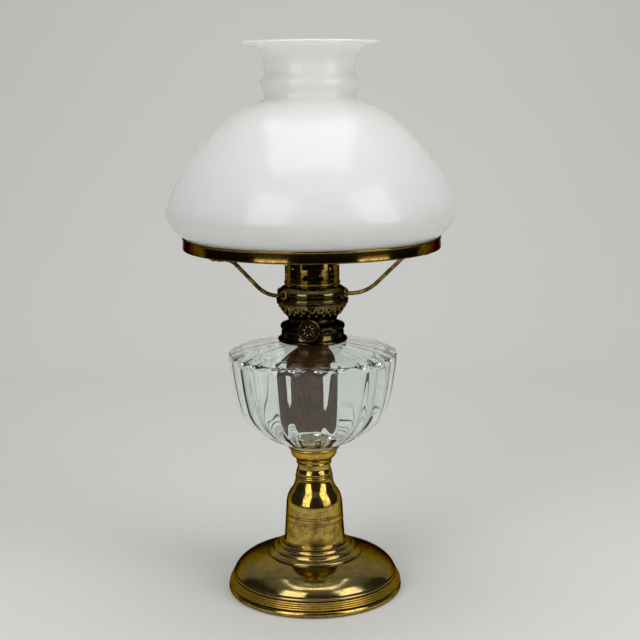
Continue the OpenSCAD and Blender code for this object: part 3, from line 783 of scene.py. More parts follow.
@dataclass
class Pedestal:
    """Brass foot, column, neck and cup; the iron and steel inside them stay as imported."""

    wall: float = 1.4
    cup_wall: float = 1.1
    rod_hole: float = 5.4
    rim_bead: float = 3.2
    ridge_count: int = 4
    ridge_pitch: float = 1.75
    ridge_height: float = 0.7
    flare: float = 3.4
    band: Pair = (6.6, 14.4)
    column_foot: float = 29.3
    column_lines: Pair = (22.9, 28.5)
    shoulder: float = 18.0

    def foot(self) -> Object:
        """Turns the foot: rolled rim, ridged band, dome, and three rings under the column.

        Returns:
            The foot, open below.
        """
        top = heights("foot_shell")[1]
        rim = reach("foot_shell")
        outline = arc((rim - self.rim_bead, self.rim_bead), self.rim_bead, -90, 58, 14)
        outline += [(rim - 2.6, 6.3), (rim - 2.4, 6.9)]
        flare, z = rim - 1.3, 7.2
        for _ in range(self.ridge_count):
            outline += arc((flare - 0.15, z + 0.5 * self.ridge_pitch), self.ridge_height, -75, 75, 5)
            flare -= self.flare / self.ridge_count
            z += self.ridge_pitch
        outline += [(rim - 5.9, z + 0.2)] + arc((rim - 6.0, z + 1.6), 1.4, -60, 100, 9)
        edge, step = (rim - 5.9, z + 4.6), (45.2, top - 11.4)
        outline += [(rim - 6.9, z + 3.1), (rim - 7.0, z + 3.7), (edge[0] - 0.5, edge[1] - 0.3), edge]
        outline += curve(edge, (rim - 11.6, 30.2), (step[0] + 12, step[1] - 2.6), step, 26)
        outline += arc((step[0] - 1.0, step[1] + 1.0), 1.2, -40, 95, 7)
        outline += curve((44.1, top - 8.4), (41.5, top - 8.2), (40.2, top - 7.6), (39.6, top - 6.0), 6)
        outline += arc((38.7, top - 5.4), 0.95, -25, 100, 6)
        outline += curve((38.5, top - 4.45), (36.4, top - 4.3), (35.4, top - 3.9), (34.7, top - 2.7), 6)
        outline += arc((33.9, top - 2.2), 0.8, -25, 110, 6)
        outline += [(32.4, top - 1.3), (31.5, top - 0.7), (31.5, top), (self.rod_hole, top)]
        return revolve("foot", shell(outline, self.wall), 192)

    def column(self) -> Object:
        """Turns the column: a foot bead, two engraved pairs of lines and the bell under the neck.

        Returns:
            The column, open below.
        """
        low, top = heights("stem_column")
        foot = (self.column_foot, low + 2.6)
        waist = (foot[0] - 2, low + 34.9)
        outline = [(foot[0] + 1, low)] + arc((foot[0] - 0.1, low + 1.2), 1.1, -45, 80, 6) + [foot]
        for z in (low + line for line in self.column_lines):
            side = foot[0] - 2 * (z - foot[1]) / (waist[1] - foot[1])
            outline += engraved(side, z - 0.9, 0.4) + engraved(side, z + 0.9, 0.4)
        shoulder = (self.shoulder, top)
        bell = ((waist[0] - 0.6, waist[1] + 19), (self.shoulder + 1, top - 14))
        outline += [waist] + curve(waist, *bell, shoulder, 24) + [(self.rod_hole, top)]
        return revolve("column", shell(outline, self.wall), 160)

    def neck(self) -> Object:
        """Turns the solid neck: two dark rings, a short drum, a cove and a thin ring.

        Returns:
            The neck.
        """
        low, top = heights("stem_neck")
        loop = [(17.4, low)] + arc((17.15, low + 1.1), 1.0, -60, 70, 7) + [(17.0, low + 2.1)]
        loop += arc((16.9, low + 2.9), 0.8, -60, 70, 6) + [(16.9, low + 3.9)]
        loop += curve((17.3, low + 4.2), (17.4, low + 5.6), (16.9, low + 7.6), (16.0, low + 8.8), 8)
        loop += curve((16.0, low + 8.8), (15.7, low + 10.5), (15.7, low + 12), (16.2, low + 14.2), 8)
        loop += arc((16.2, low + 15.1), 0.75, -70, 80, 6)
        loop += [(16.2, low + 16.2), (16.6, low + 17.4), (16.9, top)]
        loop += [(self.rod_hole, top), (self.rod_hole, low)]
        return revolve("neck", loop, 128)

    def cup(self) -> Object:
        """Turns the cup under the glass: a footing ring, a bulge and a rolled rim.

        Returns:
            The cup.
        """
        low, top = heights("font_cup")
        rim = reach("font_cup")
        outline = [(self.rod_hole, low), (17.3, low), (17.8, low + 0.8), (17.5, low + 1.5)]
        outline += [(17.2, low + 1.9)]
        outline += curve(outline[-1], (20.4, low + 2.6), (22.4, low + 4.8), (rim - 2.2, top - 3.2), 10)
        outline += [(rim - 2.5, top - 2.7)] + arc((rim - 1.1, top - 1.2), 1.1, -80, 90, 8)
        return revolve("cup", shell(outline, self.cup_wall), 128)

    def build(self, olive: Material, bright: Material, satin: Material) -> None:
        """Builds the four brass pieces and hands them over.

        Args:
            olive: Finish of the foot's dome.
            bright: Finish of the column, the neck and the foot's rim.
            satin: Finish of the cup and of the foot's lined band.
        """
        foot = dress(self.foot(), olive, satin, bright)
        for face in foot.data.polygons:
            face.material_index = sum(face.center.z < height * MM for height in self.band)
        publish(foot, Body.PEDESTAL, Slot.BRIGHT_BRASS, "foot_shell")
        publish(dress(self.column(), bright), Body.PEDESTAL, Slot.BRIGHT_BRASS, "stem_column")
        publish(dress(self.neck(), bright), Body.PEDESTAL, Slot.BRIGHT_BRASS, "stem_neck")
        publish(dress(self.cup(), satin), Body.PEDESTAL, Slot.BRIGHT_BRASS, "font_cup")


@dataclass
class Font:
    """Pressed-glass oil font with its lobes and the brass collar on its mouth."""

    wall: float = 3.0
    floor: float = 9.0
    peg: float = 18.0
    peg_top: float = 143.4
    widest: float = 231.3
    neck_out: float = 27.15
    neck_in: float = 24.55
    crease: float = 50.0
    lobes: int = 24
    lobe_depth: float = 2.5
    lobe_steps: int = 14
    inner_share: float = 0.4
    first_furrow: float = -12.4
    swing: float = 0.35
    shoulder_from: float = 228.0
    shoulder_to: float = 236.0
    shoulder_share: float = 0.15

    def outline(self) -> list[Point]:
        """Outside of the glass, from the peg up the side and over the shoulder to the neck.

        Returns:
            The points.
        """
        rim, low = reach("font_glass"), self.peg_top
        wide, waist = (rim, self.widest), (rim - 9.0, self.widest - 50.3)
        collar = heights("font_collar")[0] + 1
        line = [(self.peg, low)]
        line += curve(line[0], (40.5, low + 2.4), (rim - 15.2, waist[1] - 17), waist, 36)
        line += curve(waist, (rim - 5, waist[1] + 11.5), (rim - 1.8, wide[1] - 19.3), wide, 30)
        line += arc((rim - 3.4, wide[1] + 0.2), 3.4, 8, 66, 9)
        neck = (self.neck_out, collar + 0.6)
        return line + curve(line[-1], (rim - 9, wide[1] + 7.0), (self.neck_out + 14, collar), neck, 36)

    def glass(self, material: Material) -> Object:
        """Turns the glass and presses the lobes into both its faces.

        Args:
            material: The clear glass.

        Returns:
            The font.
        """
        low, top = heights("font_glass")
        outer, floor, wide = self.outline(), low + self.floor, reach("font_glass")
        inner = [(r, z) for r, z in inset(outer, self.wall) if z > floor and r > self.neck_in]
        loop = [(0, low), (self.peg, low)] + outer + [(self.neck_out, top), (self.neck_in, top)]
        loop += inner[::-1] + [(inner[0][0] - 6, floor), (0, floor)]
        piece = revolve("font", loop, self.lobes * self.lobe_steps, self.crease)
        # The inner face takes the lobes against its own normal and less, as pressed glass does.
        sides = ((1, outer), (-1, inner))
        faces = {(round(r, 3), round(z, 3)): sign for sign, line in sides for r, z in line}
        lobe = piece.data.attributes.new("lobe", "FLOAT", "POINT")
        for vertex, value in zip(piece.data.vertices, lobe.data):
            r, z = hypot(vertex.co.x, vertex.co.y) / MM, vertex.co.z / MM
            face = faces.get((round(r, 3), round(z, 3)), 0)
            fade = ramp(r, self.peg + 6, 20) * (1 if face > 0 else self.inner_share)
            if z > self.shoulder_from:
                fade = self.shoulder_share + (1 - self.shoulder_share) * ramp(self.shoulder_to, z, 5)
                fade *= ramp(r, self.neck_out + 3, 12)
            value.value = face * fade * r / wide
        run_tree(piece, lobed_wall(), Lobes=self.lobes, Depth=self.lobe_depth * MM, Swing=self.swing,
                 Phase=radians(270 + self.first_furrow), Material=material)
        return smooth(piece, self.crease)

    def collar(self) -> Object:
        """Turns the collar: a foot bead, a plain drum and the screw inside.

        Returns:
            The collar.
        """
        low, top = heights("font_collar")
        drum, mouth, z = 29.6, 22.55, low + 1
        loop = [(drum - 1.0, z + 1.1)] + arc((drum + 1.4, z + 2.6), 1.9, -100, 100, 12)
        loop += [(drum + 0.2, z + 4.7), (drum, z + 5.2), (drum, top - 0.5), (drum - 0.5, top), (mouth, top)]
        loop += screw(mouth + 0.5, mouth, top - 1.2, -2.0, 5) + [(mouth, low), (mouth + 1.1, low)]
        loop += [(mouth + 1.1, top - 1.2), (drum - 1.2, top - 1.2), (drum - 1.2, z + 1.6)]
        return revolve("collar", loop, 128)

    def build(self, glass: Material, brass: Material) -> None:
        """Builds the glass and its collar and hands them over."""
        publish(self.glass(glass), Body.PEDESTAL, Slot.CLEAR_GLASS, "font_glass")
        publish(dress(self.collar(), brass), Body.PEDESTAL, Slot.DARK_BRASS, "font_collar")


def tube(rows: int, count: int) -> list[tuple[int, ...]]:
    """Faces between closed rows of so many points each."""
    return [(a + k, a + (k + 1) % count, a + count + (k + 1) % count, a + count + k)
            for a in range(0, (rows - 1) * count, count) for k in range(count)]


def leaf(name: str, length: float, width: float, height: float, steps: int = 8) -> Object:
    """Makes a pointed, domed leaf that lies along +Z and swells towards +X.

    Args:
        name: Name of the piece.
        length: Length in millimetres.
        width: Width in millimetres.
        height: Height of the swelling in millimetres.
        steps: Number of steps along the leaf.

    Returns:
        The leaf, closed below.
    """
    across = (-1.0, -0.6, 0.0, 0.6, 1.0)
    points = []
    for t in (i / steps for i in range(steps + 1)):
        swell = sin(pi * t)
        half, rise, z = width / 2 * swell ** 0.8 * MM, height * swell * MM, (t - 0.5) * length * MM
        points += [(rise * (1 - k * k), k * half, z) for k in across]
    return from_faces(name, points, tube(steps + 1, len(across)), 60)


def ball(name: str, radius: float, centre: Sequence[float], squash: float = 1.0) -> Object:
    """Makes a small round bead.

    Args:
        name: Name of the piece.
        radius: Radius in millimetres.
        centre: Place of its middle, in millimetres.
        squash: Height over width.

    Returns:
        The bead.
    """
    work = bmesh.new()
    bmesh.ops.create_uvsphere(work, u_segments=14, v_segments=8, radius=radius * MM)
    mesh = bpy.data.meshes.new(name)
    work.to_mesh(mesh)
    work.free()
    mesh.transform(in_place(*centre) @ Matrix.Diagonal((1, 1, squash, 1)))
    return smooth(make_object(name, mesh), 80)


@dataclass
class Burner:
    """Screw base, relief on the pierced basket, and chimney gallery; the basket and the deck stay as
    imported.
    """

    copies: NodeTree
    tongues: int = 12
    bends: int = 14
    first_window: float = 0.56
    gallery_wall: float = 0.8
    gallery_bead: float = 0.9
    spade_half: float = 3.7
    spade_height: float = 6.4
    spade_rise: float = 7.2
    window_rise: float = 17.0
    eye: float = 0.9
    leaf_size: tuple[float, float, float] = (4.6, 2.6, 0.9)
    leaf_rows: tuple[float, ...] = (0.3, 0.5, 0.7)
    leaf_count: int = 24
    pearl: float = 0.75
    pearl_count: int = 84

    def base(self) -> Object:
        """Turns the base: a screw, a low drum with a rounded edge, a shoulder and the neck with its lip.

        Returns:
            The base.
        """
        low, top = heights("burner_base")[0], heights("air_basket")[0]
        z = heights("font_collar")[1]
        thread, drum, neck, hole = 22.2, 29.3, 22.3, 14.6
        bead, shoulder = (27.7, z + 4.4), (27.1, z + 7.3)
        loop = [(thread - 0.9, low), (thread - 0.3, low)] + screw(thread - 0.4, thread, low + 0.8, 2.0, 4)
        loop += [(thread, z - 0.4), (thread, z), (drum, z), (drum, z + 1.7)] + arc(bead, 2.8, -50, 88, 14)
        loop += [shoulder] + curve(shoulder, (25.6, z + 8.2), (24, z + 8.8), (neck, z + 9.4), 6)
        loop += [(neck, top - 1.6)] + arc((neck + 0.4, top - 0.9), 0.7, -60, 40, 5) + [(neck + 1.1, top)]
        loop += [(neck - 0.9, top), (neck - 0.9, z + 1.5), (hole, z + 1.5), (hole, z), (thread - 0.9, z)]
        return revolve("burner_screw", loop, 128)

    def relief(self, brass: Material) -> Object:
        """Lays rows of leaves between the holes of the basket and a ring of pearls under its edge.

        Args:
            brass: Finish of the relief.

        Returns:
            The relief, without the basket.
        """
        low, top = heights("air_basket")
        rim, foot, tall = reach("air_basket"), (23.4, low), top - low
        bulge = ((rim - 7, low + 0.3 * tall), (rim - 2.2, low + 0.57 * tall))
        wall = [foot] + curve(foot, *bulge, (rim, top), 40)
        parts = []
        for row, share in enumerate(self.leaf_rows):
            at = min(range(1, len(wall) - 1), key=lambda k: abs(wall[k][1] - low - share * tall))
            (r0, z0), (r, z), (r1, z1) = wall[at - 1:at + 2]
            motif = leaf("relief_leaf", *self.leaf_size)
            lean = Matrix.Rotation(atan2(r1 - r0, z1 - z0), 4, "Y")
            motif.data.transform(in_place(r + 0.02, 0, z) @ lean)
            start = radians((0.5 + row / 2) * 360 / self.leaf_count)
            parts.append(run_tree(motif, self.copies, Count=self.leaf_count, Start=start, Material=brass))
        pearl = ball("relief_pearl", self.pearl, (rim - 0.1, 0, top - 1.3))
        parts.append(run_tree(pearl, self.copies, Count=self.pearl_count, Material=brass))
        return dress(smooth(join("basket_relief", parts), 60), brass)

    def spade(self) -> list[Point]:
        """Outline of one pierced leaf with its point up.

        Returns:
            The points, from the notch round and back.
        """
        w, h = self.spade_half, self.spade_height
        half = curve((0, 0.2 * h), (0.1 * w, -0.06 * h), (0.8 * w, -0.12 * h), (0.93 * w, 0.25 * h), 8)
        half += curve(half[-1], (1.02 * w, 0.56 * h), (0.3 * w, 0.62 * h), (0, h), 8)
        return [(0, 0.2 * h)] + half + [(-x, y) for x, y in half[-2::-1]]

    def border(self, half: float, tall: float) -> list[Point]:
        """Outline of one pitch of the gallery laid flat, with half an eye and half a window at each side.

        Args:
            half: Half its width.
            tall: Its height.

        Returns:
            The points, up the right side and down the left.
        """
        rise, window = self.window_rise, 0.6 * half
        eye = [radians(-90 + 18 * i) for i in range(11)]
        right = [(half, 0.0)] + [(half - self.eye * cos(a), rise - 1.6 + self.eye * sin(a)) for a in eye]
        right += [(half, tall)] + curve((half, tall), (half - 1.6, tall), (window - 0.5, tall - 3.4),
                                        (window - 0.2, tall - 4.8), 8)
        right += curve(right[-1], (window + 0.1, tall - 6.6), (window, rise + 1.5), (window - 1.2, rise), 6)
        return right + [(-x, y) for x, y in right[::-1]]

    def panel(self) -> Object:
        """Cuts one pitch of the gallery flat, with its leaf and window, and bends it round.

        Returns:
            The panel, open where it meets the next.
        """
        low, high = heights("gallery")
        middle = reach("gallery") - self.gallery_bead - self.gallery_wall / 2
        half = pi * middle / self.tongues
        data = bpy.data.curves.new("gallery_sheet", "CURVE")
        data.dimensions, data.fill_mode, data.extrude = "2D", "BOTH", self.gallery_wall / 2
        for line in (self.border(half, high - low), [(x, y + self.spade_rise) for x, y in self.spade()]):
            spline = data.splines.new("POLY")
            spline.points.add(len(line) - 1)
            for point, (x, y) in zip(spline.points, line):
                point.co = (x, y, 0, 1)
            spline.use_cyclic_u = True
        sheet = make_object("gallery_sheet", data)
        mesh = evaluated(sheet)
        bpy.data.objects.remove(sheet)
        work = bmesh.new()
        work.from_mesh(mesh)
        bmesh.ops.remove_doubles(work, verts=work.verts, dist=1e-4)
        for i in range(1, self.bends):
            everything = work.verts[:] + work.edges[:] + work.faces[:]
            cut = (half * (2 * i / self.bends - 1), 0, 0)
            bmesh.ops.bisect_plane(work, geom=everything, plane_co=cut, plane_no=(1, 0, 0))
        walls = [f for f in work.faces if all(abs(abs(v.co.x) - half) < 1e-3 for v in f.verts)]
        bmesh.ops.delete(work, geom=walls, context="FACES")
        for vertex in work.verts:
            angle, radius = vertex.co.x / middle, middle + vertex.co.z
            vertex.co = Vector((radius * cos(angle), radius * sin(angle), low + vertex.co.y)) * MM
        work.to_mesh(mesh)
        work.free()
        return make_object("gallery_panel", mesh)

    def gallery(self, brass: Material) -> Object:
        """Sets the panels round into one pierced ring with a bead at its foot.

        Args:
            brass: Finish of the gallery.

        Returns:
            The gallery.
        """
        start = radians(270 + self.first_window * 360 / self.tongues)
        wall = run_tree(self.panel(), self.copies, Count=self.tongues, Start=start, Material=brass)
        mend(wall.data)
        centre = (reach("gallery") - self.gallery_bead - 0.1, heights("gallery")[0] + 2.9)
        bead = revolve("gallery_bead", arc(centre, 1.0, -150, 150, 14), 128)
        return dress(smooth(join("chimney_gallery", [wall, bead]), 40), brass)

    def build(self, dark: Material, brown: Material) -> None:
        """Builds the pieces of the burner and hands them over.

        Args:
            dark: Finish of the base and of the basket's relief.
            brown: Finish of the gallery.
        """
        publish(dress(self.base(), dark), Body.BURNER, Slot.DARK_BRASS, "burner_base")
        publish(self.relief(dark), Body.BURNER, Slot.DARK_BRASS)
        publish(self.gallery(brown), Body.BURNER, Slot.DARK_BRASS, "gallery")


@dataclass
class Winder:
    """Knob of the wick winder, with a plain rosette on its face."""

    copies: NodeTree
    radius: float = 10.3
    thick: float = 3.6
    face_at: float = 45.5
    bore: float = 1.52
    hub: float = 3.4
    hub_height: float = 3.2
    petals: int = 8
    notches: int = 60

    def knob(self, brass: Material) -> Object:
        """Turns the knob on its own axis, adds petals and a milled edge, and sets it on the shaft.

        Args:
            brass: Finish of the knob.

        Returns:
            The knob in its place.
        """
        back, face, r = self.face_at - self.thick, self.face_at, self.radius
        behind, middle = back - self.hub_height, back + self.thick / 2
        loop = [(self.bore, behind), (self.hub, behind), (self.hub, back - 0.6), (self.hub + 0.8, back)]
        loop += [(r - 0.9, back)] + arc((r - 0.6, back + 0.6), 0.6, -90, 0, 5)
        loop += arc((r - 0.6, face - 0.6), 0.6, 0, 90, 5) + arc((r - 1.3, face - 0.3), 0.4, 60, 180, 5)
        loop += [(r - 2.0, face - 0.9), (6.6, face - 0.8)] + arc((6.3, face - 0.8), 0.35, 10, 170, 6)
        loop += [(5.8, face - 0.9), (2.2, face - 0.8)] + arc((0.9, face - 0.7), 1.2, 20, 90, 6)[:-1]
        loop += [(0, face + 0.45), (0, middle), (self.bore, middle)]
        petal = leaf("knob_petal", 3.6, 2.3, 0.9)
        petal.data.transform(in_place(3.9, 0, face - 0.85) @ Matrix.Rotation(radians(-90), 4, "Y"))
        tooth = leaf("knob_tooth", self.thick - 1.0, 0.7, 0.25, 4)
        tooth.data.transform(in_place(r - 0.02, 0, middle))
        motifs = [run_tree(motif, self.copies, Count=count, Material=brass)
                  for motif, count in ((petal, self.petals), (tooth, self.notches))]
        piece = join("knob", [revolve("knob_disc", loop, 96)] + motifs)
        hinge = next(j for j in frame["record"]["behaviour"]["joints"] if j["name"] == "winder_turn")
        turn = Vector((0, 0, 1)).rotation_difference(Vector(hinge["axis"])).to_matrix().to_4x4()
        piece.data.transform(Matrix.Translation(Vector(hinge["pos_m"])) @ turn)
        return dress(smooth(piece, 40), brass)

    def build(self, brass: Material) -> None:
        """Builds the knob and hands it over."""
        publish(self.knob(brass), Body.WINDER, Slot.DARK_BRASS, "winder_knob")


@dataclass
class Wick:
    """One cotton sheet, rolled into a ring in the burner and opening as it hangs down in the font."""

    width: float = 68.0
    thick: float = 2.3
    roll: float = 12.2
    straight: float = 11.0
    open_to: float = 30.0
    open_by: float = 0.36
    twist: float = 38.0
    untwist: float = 0.5
    drop: float = 3.5
    lean: float = 0.9
    fold: float = 1.6
    folds: float = 2.5
    ripple: float = 0.35
    ripples: float = 7.0
    slant: float = 0.16
    across: int = 96
    levels: int = 84

    def faces(self) -> list[tuple[int, ...]]:
        """Faces of the sheet: both sides, the two long edges and the two ends.

        Returns:
            The numbers of each face's corners.
        """
        count, row = self.across + 1, 2 * (self.across + 1)
        faces = []
        for a in range(0, self.levels * row, row):
            b = a + row
            for k in range(self.across):
                faces.append((a + k, b + k, b + k + 1, a + k + 1))
                faces.append((a + count + k + 1, b + count + k + 1, b + count + k, a + count + k))
            faces.append((a + count, b + count, b, a))
            faces.append((a + count - 1, b + count - 1, b + row - 1, a + row - 1))
        end = self.levels * row
        for k in range(self.across):
            faces.append((k, k + 1, count + k + 1, count + k))
            faces.append((end + k + 1, end + k, end + count + k, end + count + k + 1))
        return faces

    def build(self, cotton: Material) -> None:
        """Args:
            cotton: The woven cotton.
        """
        low, high = heights("wick")
        low -= self.drop
        straight_to = heights("wick_tube")[0] - self.straight
        points, maps, run, last = [], [], 0.0, None
        for z in (high + (low - high) * j / self.levels for j in range(self.levels + 1)):
            hung = max(0.0, (straight_to - z) / (straight_to - low))
            t = min(1.0, hung / self.open_by)
            ease = t * t * (3 - 2 * t)
            radius = self.roll + (self.open_to - self.roll) * ease
            back = self.lean * (radius - self.roll)
            front = Vector((back - radius, z))
            run += (front - last).length if last else 0.0
            last = front
            turn = radians(270 - self.twist * (ease - self.untwist * hung))
            for face in (1, -1):
                for s in (k / self.across for k in range(self.across + 1)):
                    angle = turn + self.width / radius * (s - 0.5)
                    wave = self.fold * cos(tau * self.folds * s)
                    wave += self.ripple * sin(tau * self.ripples * s + self.slant * z)
                    r = radius + ease * wave + face * self.thick / 2
                    points.append((r * cos(angle) * MM, (r * sin(angle) + back) * MM, z * MM))
                    maps.append((s * self.width * MM, run * MM))
        piece = from_faces("wick_sheet", points, self.faces(), 60, mended=False)
        layer = piece.data.uv_layers.new(name="cut")
        for loop in piece.data.loops:
            layer.data[loop.index].uv = maps[loop.vertex_index]
        publish(dress(piece, cotton), Body.WICK, Slot.COTTON, "wick")


@dataclass
class Holder:
    """Shade holder: seat, three bent arms with rosettes, and the riveted ring."""

    copies: NodeTree
    arms: tuple[str, ...] = ("left", "right", "rear")
    arm_turn: float = 51.0
    wire: float = 1.85
    wire_sides: int = 20
    slope: float = 44.0
    low_bend_at: float = 35.95
    bend_high: float = 22.0
    tail: float = 6.0
    tab_thick: float = 2.0
    # Steps of an arm's flattened end: place from the rivet, half the width and half the thickness.
    tab: tuple[tuple[float, float, float], ...] = (
        (-1.6, 3.6, 1.35), (0.0, 4.2, 1.0), (2.0, 3.7, 1.0), (3.4, 2.4, 1.0), (4.1, 0.9, 0.9))
    rivet_from_edge: float = 9.6
    rivet_head: float = 2.75
    petals: int = 6

    @property
    def start(self) -> float:
        """Angle of the first arm, in radians."""
        return radians(270 - self.arm_turn)

    @property
    def rivet_at(self) -> float:
        """Distance of the rivets from the lamp's axis."""
        return reach("shade_ring") - self.rivet_from_edge

    @property
    def arm_height(self) -> float:
        """Height at which the arms leave the seat."""
        return heights("holder_seat")[1] - 2.3

    def seat(self) -> Object:
        """Turns the seat: a rolled flange and a sleeve with two fine lines.

        Returns:
            The seat.
        """
        low, top = heights("holder_seat")
        inner, sleeve = 31.95, 32.95
        loop = [(inner, low), (sleeve + 0.4, low)] + arc((sleeve + 0.4, low + 0.8), 0.75, -80, 85, 8)
        loop += [(sleeve + 0.2, low + 1.8), (sleeve + 0.1, low + 2.2)]
        loop += engraved(sleeve, low + 3.2, 0.25) + engraved(sleeve, top - 2.6, 0.25)
        loop += arc((sleeve - 0.4, top - 0.4), 0.4, 0, 90, 4) + [(inner, top)]
        return revolve("holder_seat_ring", loop, 128)

    def arm(self, name: str, turn: float) -> Object:
        """Bends one arm: a wide lower bend, a straight rise, a tighter upper bend and a flattened end.

        Args:
            name: Name of the piece.
            turn: Angle of the arm, in radians.

        Returns:
            The arm in its place.
        """
        ring_z = heights("shade_ring")[0]
        foot_z, end_z = self.arm_height, ring_z - self.tab_thick - 0.6
        low_x, high_x = self.low_bend_at, self.rivet_at - 2.95 - self.tail
        slope = radians(self.slope)
        low_bend = (high_x - low_x - (end_z - foot_z) / tan(slope)) / tan(slope / 2) - self.bend_high
        line = [(32.1, foot_z), (34.0, foot_z)]
        line += arc((low_x, foot_z + low_bend), low_bend, -90, -90 + self.slope, 16)
        line += arc((high_x, end_z - self.bend_high), self.bend_high, 90 + self.slope, 90, 14)
        line += [(high_x + self.tail / 2, end_z)]
        sizes = [(self.wire, self.wire)] * len(line)
        for step, wide, thick in self.tab:
            line.append((self.rivet_at + step, ring_z - self.tab_thick / 2 - max(0.0, thick - 1.0)))
            sizes.append((wide, thick))
        last, sides, points = len(line) - 1, self.wire_sides, []
        for i, ((x, z), (wide, thick)) in enumerate(zip(line, sizes)):
            along = (Vector(line[min(i + 1, last)]) - Vector(line[max(i - 1, 0)])).normalized()
            for a in (tau * k / sides for k in range(sides)):
                up = thick * sin(a)
                points.append(Vector((x - along.y * up, wide * cos(a), z + along.x * up)) * MM)
        ends = [tuple(range(sides)), tuple(range(last * sides, len(points)))]
        piece = from_faces(name, points, tube(len(line), sides) + ends, 45)
        piece.data.transform(Matrix.Rotation(turn, 4, "Z"))
        return piece

    def on_arms(self, name: str, motif: Object, brass: Material, crease: float) -> Object:
        """Sets a motif on each arm.

        Args:
            name: Name of the piece.
            motif: The motif, placed as for an arm along +X.
            brass: Its finish.
            crease: Angle in degrees from which an edge stays sharp.

        Returns:
            The copies as one piece.
        """
        piece = run_tree(motif, self.copies, Count=len(self.arms), Start=self.start, Material=brass)
        piece.name = name
        return smooth(piece, crease)

    def rosettes(self, brass: Material) -> Object:
        """Sets a rosette of round petals on each arm, against the seat.

        Args:
            brass: Finish of the rosettes.

        Returns:
            The rosettes as one piece.
        """
        petal = ball("rosette_petal", 1.5, (3.5, 0, 0.7), 0.9)
        petals = run_tree(petal, self.copies, Count=self.petals, Material=brass)
        disc = [(1.95, 0), (3.7, 0), (3.7, 0.7), (3.0, 1.3), (2.4, 1.5), (1.95, 1.4)]
        motif = join("rosette", [petals, revolve("rosette_disc", disc, 32)])
        motif.data.transform(in_place(33.05, 0, self.arm_height) @ Matrix.Rotation(radians(90), 4, "Y"))
        return self.on_arms("rosettes", motif, brass, 50)

    def ring(self) -> Object:
        """Turns the shade ring: a ledge, a rounded lower edge, the band and a rolled upper edge.

        Returns:
            The ring.
        """
        low, top = heights("shade_ring")
        rim = reach("shade_ring")
        loop = [(rim - 14, low), (rim - 1.2, low)] + arc((rim - 1.2, low + 1.0), 1.0, -80, 0, 6)
        loop += [(rim - 0.2, low + 1.6), (rim - 0.3, top - 2.2)]
        loop += arc((rim - 0.8, top - 0.9), 0.8, -40, 160, 10)
        loop += [(rim - 1.3, top - 1.6), (rim - 1.3, low + 1.2), (rim - 14, low + 1.2)]
        return revolve("shade_band", loop, 256)

    def rivets(self, brass: Material) -> Object:
        """Turns one rivet with a round head below and a flat one above, and sets it on each arm.

        Args:
            brass: Finish of the rivets.

        Returns:
            The rivets as one piece.
        """
        low, head = heights("shade_ring")[0], self.rivet_head
        foot = low - self.tab_thick
        loop = [(r, foot + (z - foot) * 0.55) for r, z in arc((0, foot + 0.2), head, -90, -5, 8)]
        loop += [(1.5, foot), (1.5, low + 1.2), (head - 0.1, low + 1.2), (head - 0.3, low + 1.9)]
        loop += [(0, low + 2.0)]
        motif = revolve("rivet", loop, 28)
        motif.data.transform(in_place(self.rivet_at, 0, 0))
        return self.on_arms("rivets", motif, brass, 40)

    def build(self, brass: Material, dark: Material) -> None:
        """Builds the holder's pieces and hands them over.

        Args:
            brass: Finish of the arms, their ornaments and the ring.
            dark: Finish of the seat.
        """
        publish(dress(self.seat(), dark), Body.HOLDER, Slot.DARK_BRASS, "holder_seat")
        for i, side in enumerate(self.arms):
            arm = self.arm(f"arm_{side}", self.start + tau * i / len(self.arms))
            publish(dress(arm, brass), Body.HOLDER, Slot.DARK_BRASS, f"holder_arm_{side}")
        publish(self.rosettes(brass), Body.HOLDER, Slot.DARK_BRASS, "arm_rosettes")
        publish(dress(self.ring(), brass), Body.HOLDER, Slot.DARK_BRASS, "shade_ring")
        publish(self.rivets(brass), Body.HOLDER, Slot.DARK_BRASS, "arm_rivets")


